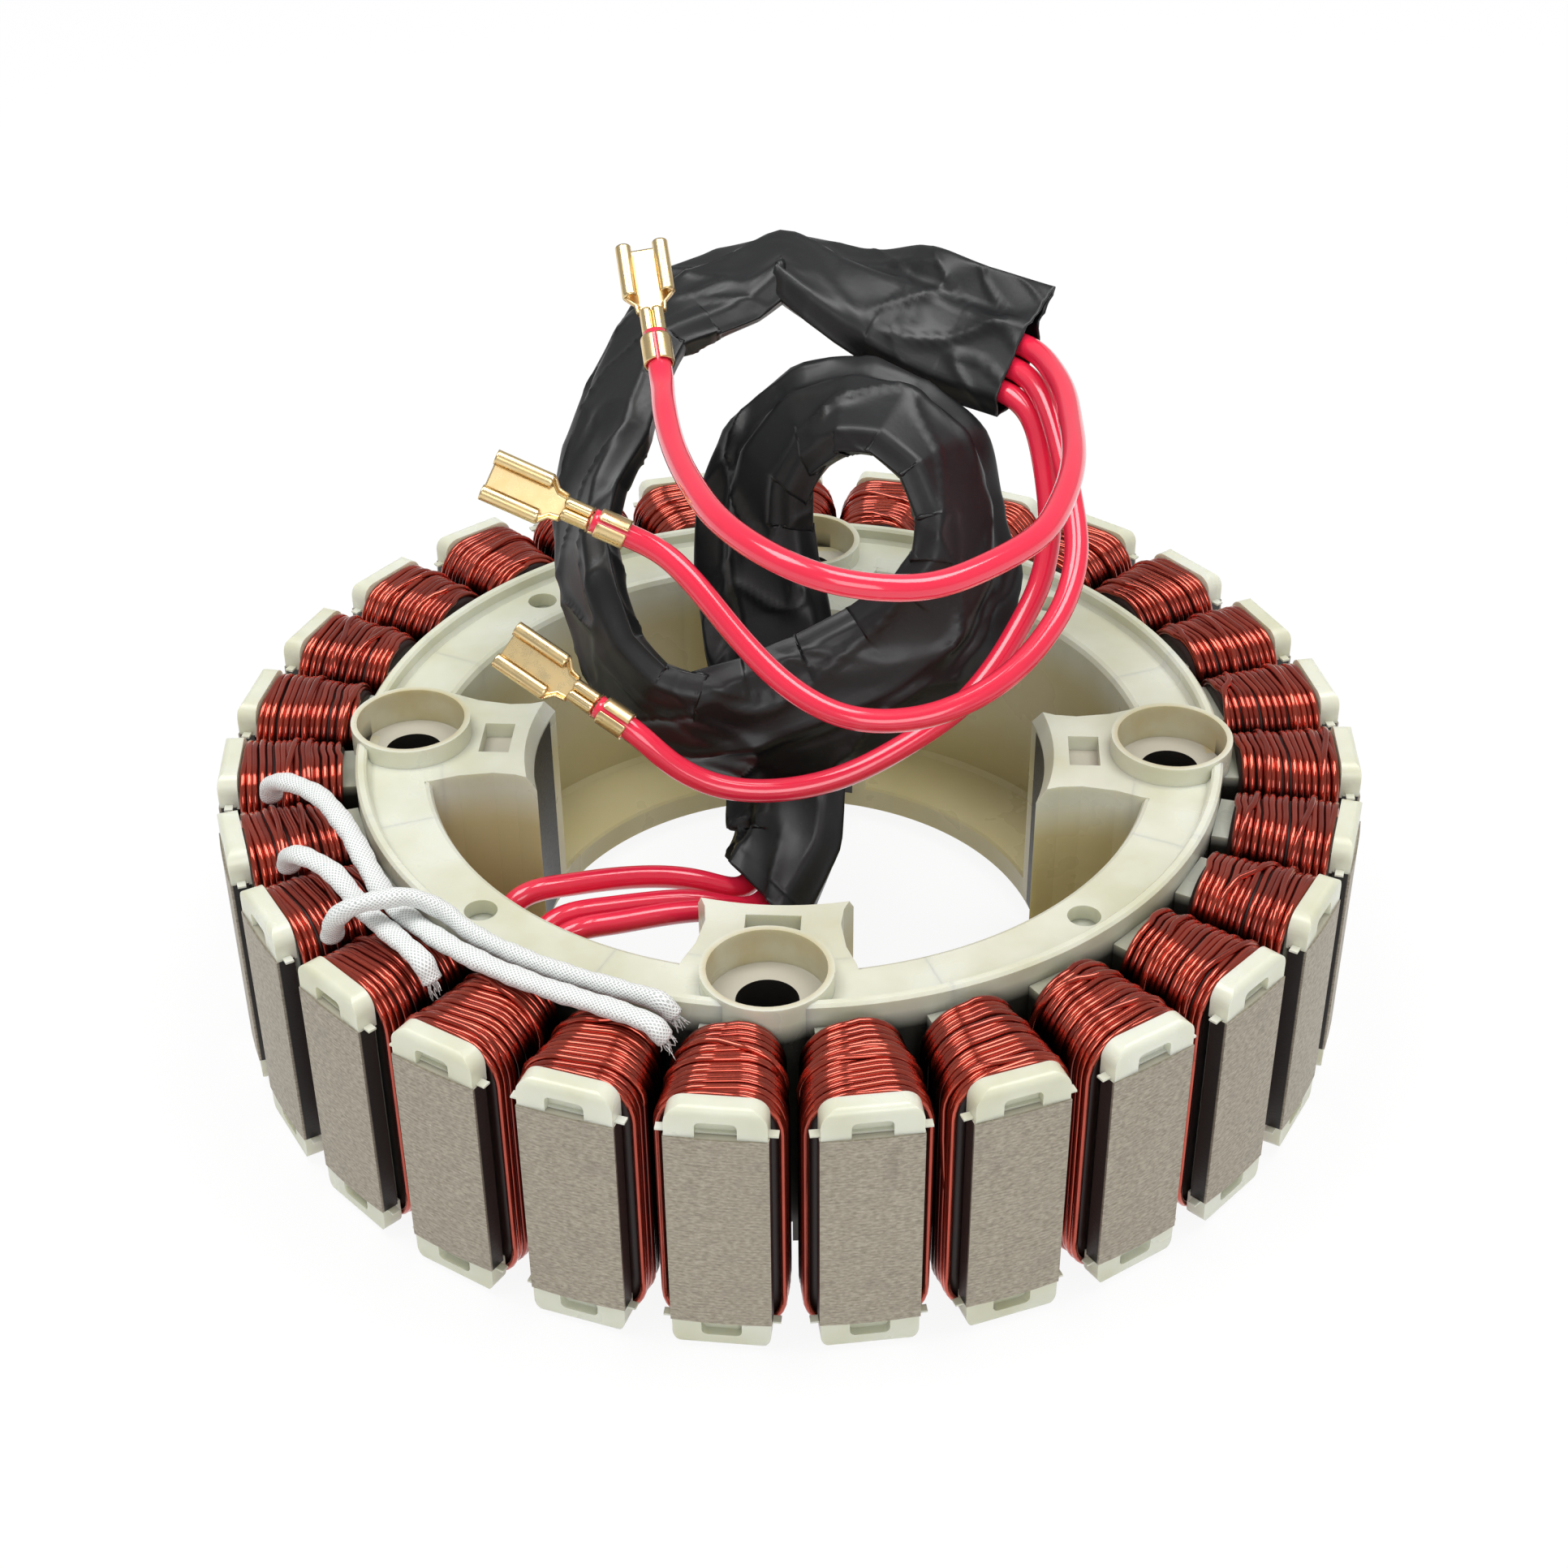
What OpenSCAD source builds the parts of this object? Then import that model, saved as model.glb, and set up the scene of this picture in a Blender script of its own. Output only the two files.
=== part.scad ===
// Wound stator of an outer-rotor generator: lamination core, moulded insulator, one coil on each
// pole, three leads in a lay-flat sleeve with push-on terminals, and braided sleevings on coil ends.
// Millimetres, +Z up. The axis is the Z axis and the part stands on Z = 0.

/* [Core] */
// Diameter over the pole faces
stator_d = 168; // [150:1:190]
// Height of the lamination stack
stack_h = 32.2; // [24:0.2:44]
// Width of a pole face
face_w = 13.3; // [11:0.1:14.5]
// Radial thickness of a pole shoe at its tips
shoe_t = 2.8; // [2:0.1:3.4]
// Width of a pole neck
neck_w = 7.6; // [6:0.1:8.4]
// Outer diameter of the back ring
yoke_d = 124.4; // [120:0.2:126]
// Radial width of the back ring
yoke_w = 7.2; // [5:0.1:9]

/* [Lugs] */
// Diameter of the bolt circle
bolt_circle_d = 113; // [111:0.5:114]
// Diameter of a bolt hole
bolt_hole_d = 8.5; // [6.5:0.1:9.5]
// Diameter of the circle on which the lug tips end
tip_d = 76; // [74:0.5:78]
// Width of a lug at its narrowest place
lug_w = 18.4; // [17:0.1:20]
// Thickness of the moulding on a lug's sides
lug_skin = 2; // [1.2:0.1:2.4]

/* [Insulator] */
// Thickness of the moulding on the core's upper face
flat_t = 2.5; // [1.8:0.1:3]
// Height of the outer rim over the steel, and of the feet under it
rim_h = 5; // [4.4:0.1:6]
// Thickness of the outer rim
rim_t = 1.6; // [1.2:0.1:1.8]
// Thickness of the wall inside the back ring
wall_t = 2; // [1.4:0.1:2.6]
// Inner diameter of the lower flange
flange_d = 78.4; // [76:0.4:84]
// Thickness of the lower flange
flange_t = 4; // [3:0.1:4.5]
// Inner diameter of a collar round a bolt hole
collar_d = 16; // [14:0.2:16.4]
// Wall of a collar
collar_t = 0.9; // [0.7:0.1:1]
// Height of a collar over the steel
collar_h = 5.5; // [4:0.1:8]
// Thickness of the liner on the sides of a pole neck
liner_side = 0.9; // [0.6:0.1:1.2]
// Thickness of the liner on the ends of a pole neck
liner_end = 1.5; // [1:0.1:2]
// Height of an end flange over the steel
end_h = 4.6; // [4:0.1:4.8]
// Radial thickness of an end flange
end_t = 2.9; // [2.4:0.1:3.2]
// Depth of the recess in the front of an end flange
groove_t = 1.3; // [0.8:0.1:1.5]
// Height of that recess over the steel
groove_h = 2.5; // [1.8:0.1:3]

/* [Coils] */
// Width of a coil at its outer end
coil_w = 17.2; // [15:0.1:17.4]
// Width of a coil at its inner end
coil_in_w = 14; // [13:0.1:14.4]
// Height of a coil over the steel, at both ends
crown_h = 4.8; // [4:0.1:4.8]
// Corner radius of a coil
coil_r = 6; // [4:0.1:6.8]
// Diameter of the wire
wire_d = 0.95; // [0.8:0.05:1.4]

/* [Harness] */
// Outer diameter of a lead
lead_d = 3.4; // [2.8:0.1:3.5]
// Width of the lay-flat sleeve
sleeve_w = 19; // [18:0.5:21]
// Wall of the sleeve
sleeve_t = 0.4; // [0.3:0.05:0.5]
// Outer diameter of a braided sleeving
braid_d = 3.2; // [2.6:0.1:3.2]
// Width of a terminal's receptacle
tab_w = 7.6; // [7:0.1:8]
// Height of a terminal's receptacle
tab_h = 3; // [2.8:0.1:3.4]
// Sheet thickness of a terminal
tab_t = 0.45; // [0.3:0.05:0.6]

/* [Hidden] */
$fn = 96;
poles = 27;
pitch = 360 / poles;
lugs = 4;
stator_r = stator_d / 2;
z_b = rim_h;
z_t = z_b + stack_h;
z_flat = z_t + flat_t;
yoke_r = yoke_d / 2;
yoke_in = yoke_r - yoke_w;
wall_r = yoke_in - wall_t;
tip_r = tip_d / 2;
bolt_r = bolt_circle_d / 2;
rim_r = yoke_r + rim_t;
shoe_r = stator_r - shoe_t;
end_in = shoe_r - 0.5;
// running gap between parts that only lie beside each other
gap = 0.2;
coil_in = max(bolt_r + collar_d / 2 + collar_t, rim_r) + gap;
coil_out = end_in - gap;
liner_w = neck_w + 2 * liner_side;
// turns side by side in a coil, and the length over which it widens
turns = floor((coil_out - coil_in) / wire_d);
taper_l = 11;
// steel that is left round a bolt hole
boss_t = 1.4;
flange_z = z_b - flange_t + 0.7;
flange_r = flange_d / 2;
// fit of a lead in the hole that it comes up through, on the radius
lead_fit = 0.1;
lead_r = lead_d / 2;
braid_r = braid_d / 2;
lead_pitch = lead_d + 0.3;
sleeve_b = lead_r + 0.35 + sleeve_t;
// side of the sleeve and of the terminals that looks outwards
facing = [0.05, -0.81, 0.58];
crimp_in = 5.2;
term_l = 21;

// Route of the sleeve from its lower mouth to its upper one: x, y, z, the turn of its flat side and
// its share of the full width
sleeve_route = [
    [-2, -13.5, 25, -35, 0.8], [0, -9, 29, -32, 0.88], [-0.5, -3.5, 34, -25, 0.94], [-1, 2.5, 40.5, -20, 0.95],
    [-2.5, 8.5, 46.5, -18, 0.95], [-4, 14, 53.5, -18, 0.95], [-5.5, 17.5, 59.5, -22, 0.95],
    [-6, 20.5, 66.5, -28, 0.95], [-4.5, 22.5, 74.5, -32, 0.95], [1, 23.5, 81.5, -34, 0.95],
    [8.5, 21.5, 85.5, -35, 0.95], [15.5, 19, 85, -36, 0.94], [21.5, 15.5, 80.5, -40, 0.92],
    [25, 11, 73.5, -40, 0.92], [25.5, 6.5, 66.5, -34, 0.94], [22, 2.5, 60, -22, 0.98], [14.5, -0.5, 54, -12, 1],
    [5, -3, 49.5, -14, 1], [-4.5, -5, 47, -25, 0.98], [-13.5, -5.5, 46, -40, 0.94], [-21, -4, 49, -50, 0.9],
    [-26, 0, 54, -58, 0.84], [-28.5, 5, 59.5, -62, 0.8], [-30.5, 11, 65.5, -64, 0.76],
    [-30.5, 17.5, 71.5, -58, 0.82], [-28.5, 25, 77, -48, 0.92], [-26, 32.5, 82.5, -48, 0.86],
    [-22.5, 38.5, 87.5, -50, 0.8], [-17, 43, 90.5, -42, 0.92], [-10, 46, 93, -40, 0.96],
    [-3, 48.5, 95.5, -46, 0.84], [4.5, 46, 93.5, -36, 0.96], [14, 42, 91.5, -14, 1], [24, 36, 90, 0, 1],
    [33.5, 29.5, 90, 0, 1]
];
// share of the full width at the narrowest place, where the three leads fill the sleeve
tight = 0.7;
// Routes of the leads from the lower flange to the sleeve
lead_tails = [
    [[-39.5, -27, 2], [-39.5, -27, 9], [-40, -27.5, 15], [-40.5, -28, 22], [-40, -27.5, 27],
        [-37.5, -25.5, 30], [-32.5, -23, 29.5], [-27, -20, 28.5], [-21.5, -17.5, 27.5], [-15.5, -16, 26.5],
        [-10, -15, 24.5], [-6, -14.5, 22.5]],
    [[-35.5, -31, 2], [-35.5, -31, 8], [-36, -31.5, 13], [-36.5, -31.5, 18.5], [-35.5, -30, 24],
        [-32.5, -27, 27], [-25.5, -24, 26.5], [-18, -21.5, 26], [-12, -19.5, 25], [-6.5, -18.5, 22.5],
        [-2.5, -17, 22.5]],
    [[-31, -35, 2], [-31, -35, 8], [-31.5, -35.5, 13], [-32.5, -35.5, 18.5], [-33, -33, 23.5],
        [-30.5, -31.5, 28], [-24.5, -29, 27.5], [-19, -27, 27.5], [-12.5, -24.5, 27], [-7, -22.5, 25.5],
        [-2.5, -21, 23.5], [0.5, -19, 23]]
];
// Routes of the leads from the sleeve to the crimps
lead_swings = [
    [[36.5, 24.5, 90.5], [38.5, 15, 91], [39, 4, 91.5], [39, -6.5, 92.5], [38, -16, 93], [36, -24.5, 93],
        [33.5, -31, 93], [27, -38.5, 93], [19.5, -44, 93], [9.5, -46, 94.5], [1.5, -43.5, 96],
        [-6, -35.5, 96.5], [-11, -24, 96], [-14.5, -12, 95.5], [-16.5, -2, 96], [-18, 8.5, 97]],
    [[36, 22, 86.5], [38, 16.5, 83], [39.5, 11, 79], [40.5, 6, 75.5], [41, 1.5, 72.5], [40, -3, 69.5],
        [38.5, -7, 67.5], [35.5, -11.5, 65], [32, -15.5, 63], [27.5, -18.5, 61], [19.5, -21.5, 59],
        [9.5, -22, 59], [1, -19, 62], [-6, -14.5, 67], [-12, -10, 72.5], [-17, -6.5, 76], [-22, -5, 77.5]],
    [[34.5, 22.5, 83.5], [36, 19, 79.5], [37, 14.5, 75.5], [37.5, 10.5, 71.5], [37, 7.5, 68], [36, 4.5, 64.5],
        [33.5, 1, 61], [31, -3, 58], [25.5, -8.5, 53], [16.5, -13.5, 48.5], [8, -17, 45.5], [-0.5, -19, 44.5],
        [-8.5, -20, 45.5], [-14.5, -20, 48.5], [-18, -19.5, 51.5], [-21.5, -18.5, 54.5]]
];
// Directions of the terminals
term_dirs = [[-0.19, 0.85, 0.5], [-0.92, 0.15, 0.36], [-0.84, 0.33, 0.43]];
// Routes of the braided sleevings: depth behind the pole faces, angle, and height over the coils
braid_routes = [
    [[8, -166.67, -1.6], [8.5, -165.3, 1.8], [11, -162, 4.4], [14.5, -157, 5.2], [16, -150, 4.6],
        [15.8, -144, 3], [15.2, -138, 1.7], [15, -130, 1.7], [15, -122, 1.7], [15, -114, 1.7],
        [14.6, -107, 1.7], [13.8, -103.2, 1.7], [13.4, -101.2, 1.2], [13.4, -100, -0.6]],
    [[8, -153.33, -1.6], [8, -151.8, 1.6], [9, -148.6, 3.8], [11, -144.5, 3.6], [11.6, -139, 1.7],
        [11.4, -133.3, 1.7], [11, -129.8, 1.7], [10.8, -127.8, 1], [10.8, -126.67, -1.2]],
    [[7.2, -140, -1.6], [7, -138.4, 2.6], [8.6, -136.6, 5.4], [12, -135, 6], [15.2, -133.6, 5.6],
        [18, -131, 3.4], [18.6, -127, 1.8], [18.6, -121, 1.7], [18.6, -114, 1.7], [18.4, -107, 1.7],
        [18, -103.2, 1.7], [17.6, -101.2, 1.4], [17.6, -100, -0.2]]
];

function two(k) = k < 10 ? str("0", k) : str(k);
coil_names = [for (k = [1 : poles]) str("coil_", two(k))];
lead_names = [for (k = [1 : 3]) str("lead_", k)];
terminal_names = [for (k = [1 : 3]) str("terminal_", k)];
braid_names = [for (k = [1 : 3]) str("sleeving_", k)];
ring_names = [for (k = [1 : 2 * lugs]) str("insulator_ring_", k)];

// Vectors and paths
function unit(v) = v / norm(v);
function turn2(a, p) = [p[0] * cos(a) - p[1] * sin(a), p[0] * sin(a) + p[1] * cos(a)];
function xyz(p) = [p[0], p[1], p[2]];
function tangent(p, i) = unit(p[min(i + 1, len(p) - 1)] - p[max(i - 1, 0)]);
function flat_side(t, a) =
    let (w = unit(cross(t, facing)), n = cross(t, w))
    w * cos(a) + n * sin(a);
sleeve_path = [for (s = sleeve_route) xyz(s)];
sleeve_tangents = [for (i = [0 : len(sleeve_path) - 1]) tangent(sleeve_path, i)];
sleeve_sides = [for (i = [0 : len(sleeve_path) - 1]) flat_side(sleeve_tangents[i], sleeve_route[i][3])];
function lead_path(k) = concat(
    lead_tails[k],
    [for (i = [0 : len(sleeve_path) - 1]) sleeve_path[i] + sleeve_sides[i] * lead_side(i, k)],
    [for (i = [0 : len(lead_swings[k]) - 2]) lead_swings[k][i]],
    [for (d = [-3, 0, crimp_in]) crimp_at(k) + unit(term_dirs[k]) * d]);
function lead_side(i, k) = lead_pitch * (k - 1) + (sleeve_route[i][4] - tight) * sleeve_w / 2;
function crimp_at(k) = lead_swings[k][len(lead_swings[k]) - 1];
function braid_path(k) = [for (q = braid_routes[k])
    concat(turn2(q[1], [stator_r - q[0], 0]), [z_t + crown_h + q[2]])];

// Side vector carried along a path without turning about it
function carried(t, side, i = 1) = i >= len(t) ? side :
    let (last = side[i - 1], s = last - t[i] * (last * t[i]))
    carried(t, concat(side, [unit(s)]), i + 1);
function first_side(t) = unit(cross(t, abs(t[2]) < 0.9 ? [0, 0, 1] : [1, 0, 0]));

// Faces of a tube of n-sided rings
function tube_faces(m, n) = concat(
    [[for (j = [n - 1 : -1 : 0]) j]],
    [for (i = [0 : m - 2]) for (j = [0 : n - 1]) [i * n + j, i * n + (j + 1) % n, (i + 1) * n + j]],
    [for (i = [0 : m - 2]) for (j = [0 : n - 1])
        [i * n + (j + 1) % n, (i + 1) * n + (j + 1) % n, (i + 1) * n + j]],
    [[for (j = [0 : n - 1]) (m - 1) * n + j]]);

// Round cord along a path
module cord(path, r, n = 8) {
    t = [for (i = [0 : len(path) - 1]) tangent(path, i)];
    s = carried(t, [first_side(t[0])]);
    points = [for (i = [0 : len(path) - 1]) let (b = cross(t[i], s[i])) for (j = [0 : n - 1])
        path[i] + (s[i] * cos(360 * j / n) + b * sin(360 * j / n)) * r];
    polyhedron(points, tube_faces(len(path), n), convexity = 10);
}

// Stadium of fourteen points, half width a and half thickness b
function stadium(a, b) = [for (e = [1, -1]) each concat(
    [for (q = [-90, -45, 0, 45, 90]) [e * (a - b + b * cos(q)), e * b * sin(q)]],
    [for (q = [1, -1]) [e * q * (a - b) / 3, e * b]])];

// Hollow lay-flat sleeve
module harness_sleeve() {
    m = len(sleeve_path);
    n = 14;
    points = [for (i = [0 : m - 1])
        let (w = sleeve_sides[i], b = cross(sleeve_tangents[i], w), a = sleeve_route[i][4] * sleeve_w / 2)
        for (q = concat(stadium(a, sleeve_b), stadium(a - sleeve_t, sleeve_b - sleeve_t)))
            sleeve_path[i] + w * q[0] + b * q[1]];
    walls = [for (i = [0 : m - 2]) for (j = [0 : n - 1])
        let (a = i * 2 * n, u = (j + 1) % n, c = a + 2 * n)
        each [[a + j, a + u, c + j], [a + u, c + u, c + j],
            [a + n + u, a + n + j, c + n + j], [a + n + u, c + n + j, c + n + u]]];
    z = (m - 1) * 2 * n;
    mouths = [for (j = [0 : n - 1]) let (u = (j + 1) % n)
        each [[u, j, n + j], [u, n + j, n + u],
            [z + j, z + u, z + n + j], [z + u, z + n + u, z + n + j]]];
    color("#1e2022") polyhedron(points, concat(walls, mouths), convexity = 10);
}

// Plan of a slot between two poles
function slot_plan(k) = let (a = k * pitch, b = (k + 1) * pitch, n = neck_w / 2, f = face_w / 2)
    [turn2(a, [yoke_r, n]), turn2(a, [shoe_r - 0.6, n]), turn2(a, [shoe_r, f]), turn2(a, [stator_r + 2, f]),
        turn2(b, [stator_r + 2, -f]), turn2(b, [shoe_r, -f]), turn2(b, [shoe_r - 0.6, -n]),
        turn2(b, [yoke_r, -n])];

// Plan of a lug along +X, its half width w at the narrowest place
function lug_half(w) = [[yoke_in + 1, w + 3.6], [wall_r - 1.4, w + 2.4], [48, w + 0.9], [tip_r + 5, w],
    [tip_r + 1.8, w + 0.3], [tip_r - 2, w + 1.7]];
function lug_plan(w) = concat(lug_half(w), [for (i = [5 : -1 : 0]) [lug_half(w)[i][0], -lug_half(w)[i][1]]]);

// The moulding is drawn in pieces that meet face to face: sectors of its ring, one at each lug and one
// between each two lugs, the covers and collars of the lugs, and the bobbins on the poles
sector = 180 / lugs;
// radius at which a lug's cover meets the ring
cover_r = wall_r - 1.6;

// Copies on the four lugs
module on_lugs() {
    for (k = [0 : lugs - 1]) rotate(k * 360 / lugs) children();
}

// Steel body of the core
module core_body() {
    translate([0, 0, z_b]) linear_extrude(stack_h) difference() {
        circle(r = stator_r);
        difference() {
            for (k = [0 : poles - 1]) polygon(slot_plan(k));
            on_lugs() translate([bolt_r, 0]) circle(d = bolt_hole_d + 2 * boss_t);
        }
        difference() {
            circle(r = yoke_in);
            on_lugs() polygon(lug_plan(lug_w / 2 - lug_skin));
        }
        circle(r = tip_r);
        on_lugs() translate([bolt_r, 0]) circle(d = bolt_hole_d);
    }
}

module lamination_core() {
    color("#8f8a82") core_body();
}

// Ring of the insulator over an angle from +X on, turned about the axis
module ring_body(span) {
    e = 0.4;
    rotate_extrude(angle = span, $fn = 180) polygon([
        [flange_r, flange_z], [flange_r, flange_z + flange_t - e], [flange_r + e, flange_z + flange_t],
        [wall_r - 1.6, flange_z + flange_t + 0.2], [wall_r - 0.8, flange_z + flange_t + 1],
        [wall_r, z_flat - 1], [wall_r + e, z_flat - 0.3], [wall_r + 1, z_flat], [yoke_r - 0.6, z_flat],
        [yoke_r, z_flat + 0.6], [yoke_r, z_t + rim_h - e], [yoke_r + e, z_t + rim_h], [rim_r - e, z_t + rim_h],
        [rim_r, z_t + rim_h - e], [rim_r, e], [rim_r - e, 0], [yoke_r + e, 0], [yoke_r, e],
        [yoke_r, flange_z - 0.6], [yoke_r - 0.6, flange_z]
    ]);
}

// Profile of an end flange: square at the steel and drawn a little into it, round corners at the free edge
module end_profile() {
    w = face_w / 2 - 0.15;
    r = 2.4;
    sunk = 0.4;
    translate([-w, -sunk]) square([2 * w, end_h - r + sunk]);
    translate([-w + r, -sunk]) square([2 * (w - r), end_h + sunk]);
    for (s = [-1, 1]) translate([s * (w - r), end_h - r]) circle(r = r);
}

// One end flange on the upper face of a pole along +X, its foot at Z = 0: rounded at its free edge, with
// a recess in its front that opens at the steel
module end_flange() {
    w = face_w / 2 + 1;
    r = 1.1;
    difference() {
        translate([end_in, 0, 0]) rotate([90, 0, 90]) linear_extrude(end_t) end_profile();
        translate([end_in + end_t, w, end_h]) rotate([90, 0, 0]) linear_extrude(2 * w) difference() {
            translate([-r, -r]) square(r + 1);
            translate([-r, -r]) circle(r = r);
        }
        translate([end_in + end_t - groove_t, 0, 0]) rotate([90, 0, 90]) linear_extrude(5)
            rounded(face_w * 0.4, 2 * groove_h, 0.8);
    }
    translate([end_in + 0.9, -face_w / 2 - 1.1, 0.1]) cube([1.2, face_w + 2.2, 0.3]);
}

// Moulding on one pole along +X, from the rim to the pole shoe
module pole_bobbin() {
    translate([rim_r, -liner_w / 2, z_b - liner_end])
        cube([end_in + 0.3 - rim_r, liner_w, stack_h + 2 * liner_end]);
    translate([0, 0, z_t]) end_flange();
    translate([0, 0, z_b]) mirror([0, 0, 1]) end_flange();
}

// What is cut out of the moulding on the lugs: seats for the bolts, and a pocket at each tip
module lug_cuts() {
    translate([0, 0, -1]) cylinder(r = tip_r, h = z_t + 20);
    translate([0, 0, z_t + 0.4]) cylinder(r1 = tip_r, r2 = tip_r + 1.3, h = flat_t - 0.4);
    on_lugs() {
        translate([bolt_r, 0, z_t]) cylinder(d = collar_d, h = 20);
        translate([bolt_r, 0, -1]) cylinder(d = collar_d, h = z_b + 1);
        translate([tip_r + 3.5, -3.8, z_t]) cube([4.5, 7.6, 10]);
    }
}

// Outside of the collars, from the core's lower face up
module collar_bodies() {
    on_lugs() translate([bolt_r, 0, z_b]) cylinder(d = collar_d + 2 * collar_t, h = stack_h + collar_h);
}

// Moulded covers of the lugs, from the lower flange up and inside the ring
module lug_covers() {
    z = flange_z + flange_t + 0.2;
    color("#d8d8c4") difference() {
        translate([0, 0, z]) linear_extrude(z_flat - z) intersection() {
            on_lugs() polygon(lug_plan(lug_w / 2));
            circle(r = cover_r);
        }
        core_body();
        collar_bodies();
        lug_cuts();
    }
}

// Collars round the bolt holes; each stands on the steel and has a foot between the poles
module lug_collars() {
    color("#d8d8c4") difference() {
        collar_bodies();
        core_body();
        on_lugs() {
            translate([bolt_r, 0, z_t]) cylinder(d = collar_d, h = 20);
            translate([bolt_r, 0, -1]) cylinder(d = bolt_hole_d + 2, h = z_t + 2);
        }
    }
}

// Bobbins on all poles, each round the neck of its pole and up to the rim and the collars
module pole_bobbins() {
    color("#d8d8c4") difference() {
        for (k = [0 : poles - 1]) rotate(k * pitch) pole_bobbin();
        core_body();
        collar_bodies();
    }
}

// One sector of the insulator's ring: even ones lie at a lug, odd ones between two lugs
module insulator_ring(i) {
    color("#d8d8c4") difference() {
        rotate(i * sector) {
            rotate(-sector / 2) ring_body(sector);
            if (i % 2 == 0) translate([0, 0, z_flat]) mirror([0, 0, 1]) linear_extrude(z_flat - flange_z - 1)
                difference() {
                    polygon(lug_plan(lug_w / 2));
                    circle(r = cover_r);
                }
        }
        core_body();
        collar_bodies();
        lug_cuts();
        on_lugs() rotate(sector + 1.5) translate([bolt_r + 1.5, 0, z_t]) cylinder(d = 4.6, h = 10);
        for (q = lead_tails) translate([q[0][0], q[0][1], -1]) cylinder(r = lead_r + lead_fit, h = 9);
    }
}

// Half width of a coil at a length from its inner end
function coil_half(l) = (coil_in_w + (coil_w - coil_in_w) * min(l / taper_l, 1)) / 2;

// One coil on a pole along +X: ridges of the turns on a body of wire round the liner, which is narrower
// at its inner end
module coil_body() {
    h = stack_h + 2 * crown_h;
    l = coil_out - coil_in;
    // height of a turn over the hollow beside it
    hollow = wire_d * 0.4;
    w = coil_half(l) - hollow;
    wi = coil_half(0) - hollow;
    difference() {
        union() {
            difference() {
                translate([coil_in, 0, z_b + stack_h / 2]) rotate([90, 0, 90]) linear_extrude(l)
                    rounded(2 * w, h - 2 * hollow, coil_r - hollow);
                for (s = [-1, 1]) translate([0, 0, -1]) linear_extrude(z_t + 20)
                    polygon([[coil_in - 1, s * (wi - (w - wi) / taper_l)], [coil_in + taper_l, s * w],
                        [coil_in + taper_l, s * (w + 3)], [coil_in - 1, s * (w + 3)]]);
            }
            for (k = [0 : turns - 1]) let (m = (k + 0.5) * l / turns)
                translate([coil_in + m - wire_d * 0.32, 0, z_b + stack_h / 2]) rotate([90, 0, 90])
                    linear_extrude(wire_d * 0.64) rounded(2 * coil_half(m), h, coil_r);
        }
        translate([coil_in - 1, -liner_w / 2, z_b - liner_end]) cube([l + 2, liner_w, stack_h + 2 * liner_end]);
    }
}

// Push-on terminal along +X from the lead's end, its open side up
module terminal_body() {
    zf = -lead_r - 0.45;
    rotate([0, 90, 0]) difference() {
        cylinder(r = lead_r + 0.45, h = 4.4);
        translate([0, 0, -1]) cylinder(r = lead_r + 0.05, h = 7);
    }
    translate([5.6, 0, 0]) rotate([0, 90, 0]) cylinder(r = lead_r + 0.1, h = 4.4);
    translate([0, -1.3, zf]) cube([12, 2.6, tab_t]);
    translate([0, 0, zf]) linear_extrude(tab_t)
        polygon([[9, -1.3], [12.6, -tab_w / 2 + 0.6], [12.6, tab_w / 2 - 0.6], [9, 1.3]]);
    translate([12.4, 0, zf + tab_h / 2]) rotate([90, 0, 90]) linear_extrude(term_l - 12.4) difference() {
        rounded(tab_w, tab_h, 1.1);
        rounded(tab_w - 2 * tab_t, tab_h - 2 * tab_t, 1.1 - tab_t);
        translate([0, tab_h / 2]) square([1.6, tab_h], center = true);
    }
}

// Rectangle with round corners
module rounded(w, h, r) {
    square([w - 2 * r, h], center = true);
    square([w, h - 2 * r], center = true);
    for (s = [-1, 1]) for (e = [-1, 1]) translate([s * (w / 2 - r), e * (h / 2 - r)]) circle(r = r);
}

// Moves a child from +X to point p along direction d, its +Z side towards the outside
module along(p, d) {
    x = unit(d);
    y = unit(cross(facing, x));
    z = cross(x, y);
    multmatrix([[x[0], y[0], z[0], p[0]], [x[1], y[1], z[1], p[1]], [x[2], y[2], z[2], p[2]], [0, 0, 0, 1]])
        children();
}

module coil(k) {
    color("#a8412c") rotate(k * pitch) coil_body();
}

module lead(k) {
    color("#d62f4b") cord(lead_path(k), lead_r);
}

module terminal(k) {
    color("#d9b566") along(crimp_at(k), term_dirs[k]) terminal_body();
}

module sleeving(k) {
    color("#e6e9e7") cord(braid_path(k), braid_r);
}

lamination_core();
for (k = [0 : 2 * lugs - 1]) insulator_ring(k);
lug_covers();
lug_collars();
pole_bobbins();
for (k = [0 : poles - 1]) coil(k);
harness_sleeve();
for (k = [0 : 2]) lead(k);
for (k = [0 : 2]) terminal(k);
for (k = [0 : 2]) sleeving(k);
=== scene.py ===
"""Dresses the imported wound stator: laminated core, moulded insulator, copper windings and lead harness.

Sizes in the classes are millimetres in the frame of the part; meshes are written in metres.
"""
import logging
from dataclasses import dataclass
from enum import Enum
from typing import Any, Sequence

import bpy
import numpy as np
from mathutils import Matrix
from numpy.typing import NDArray


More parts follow.
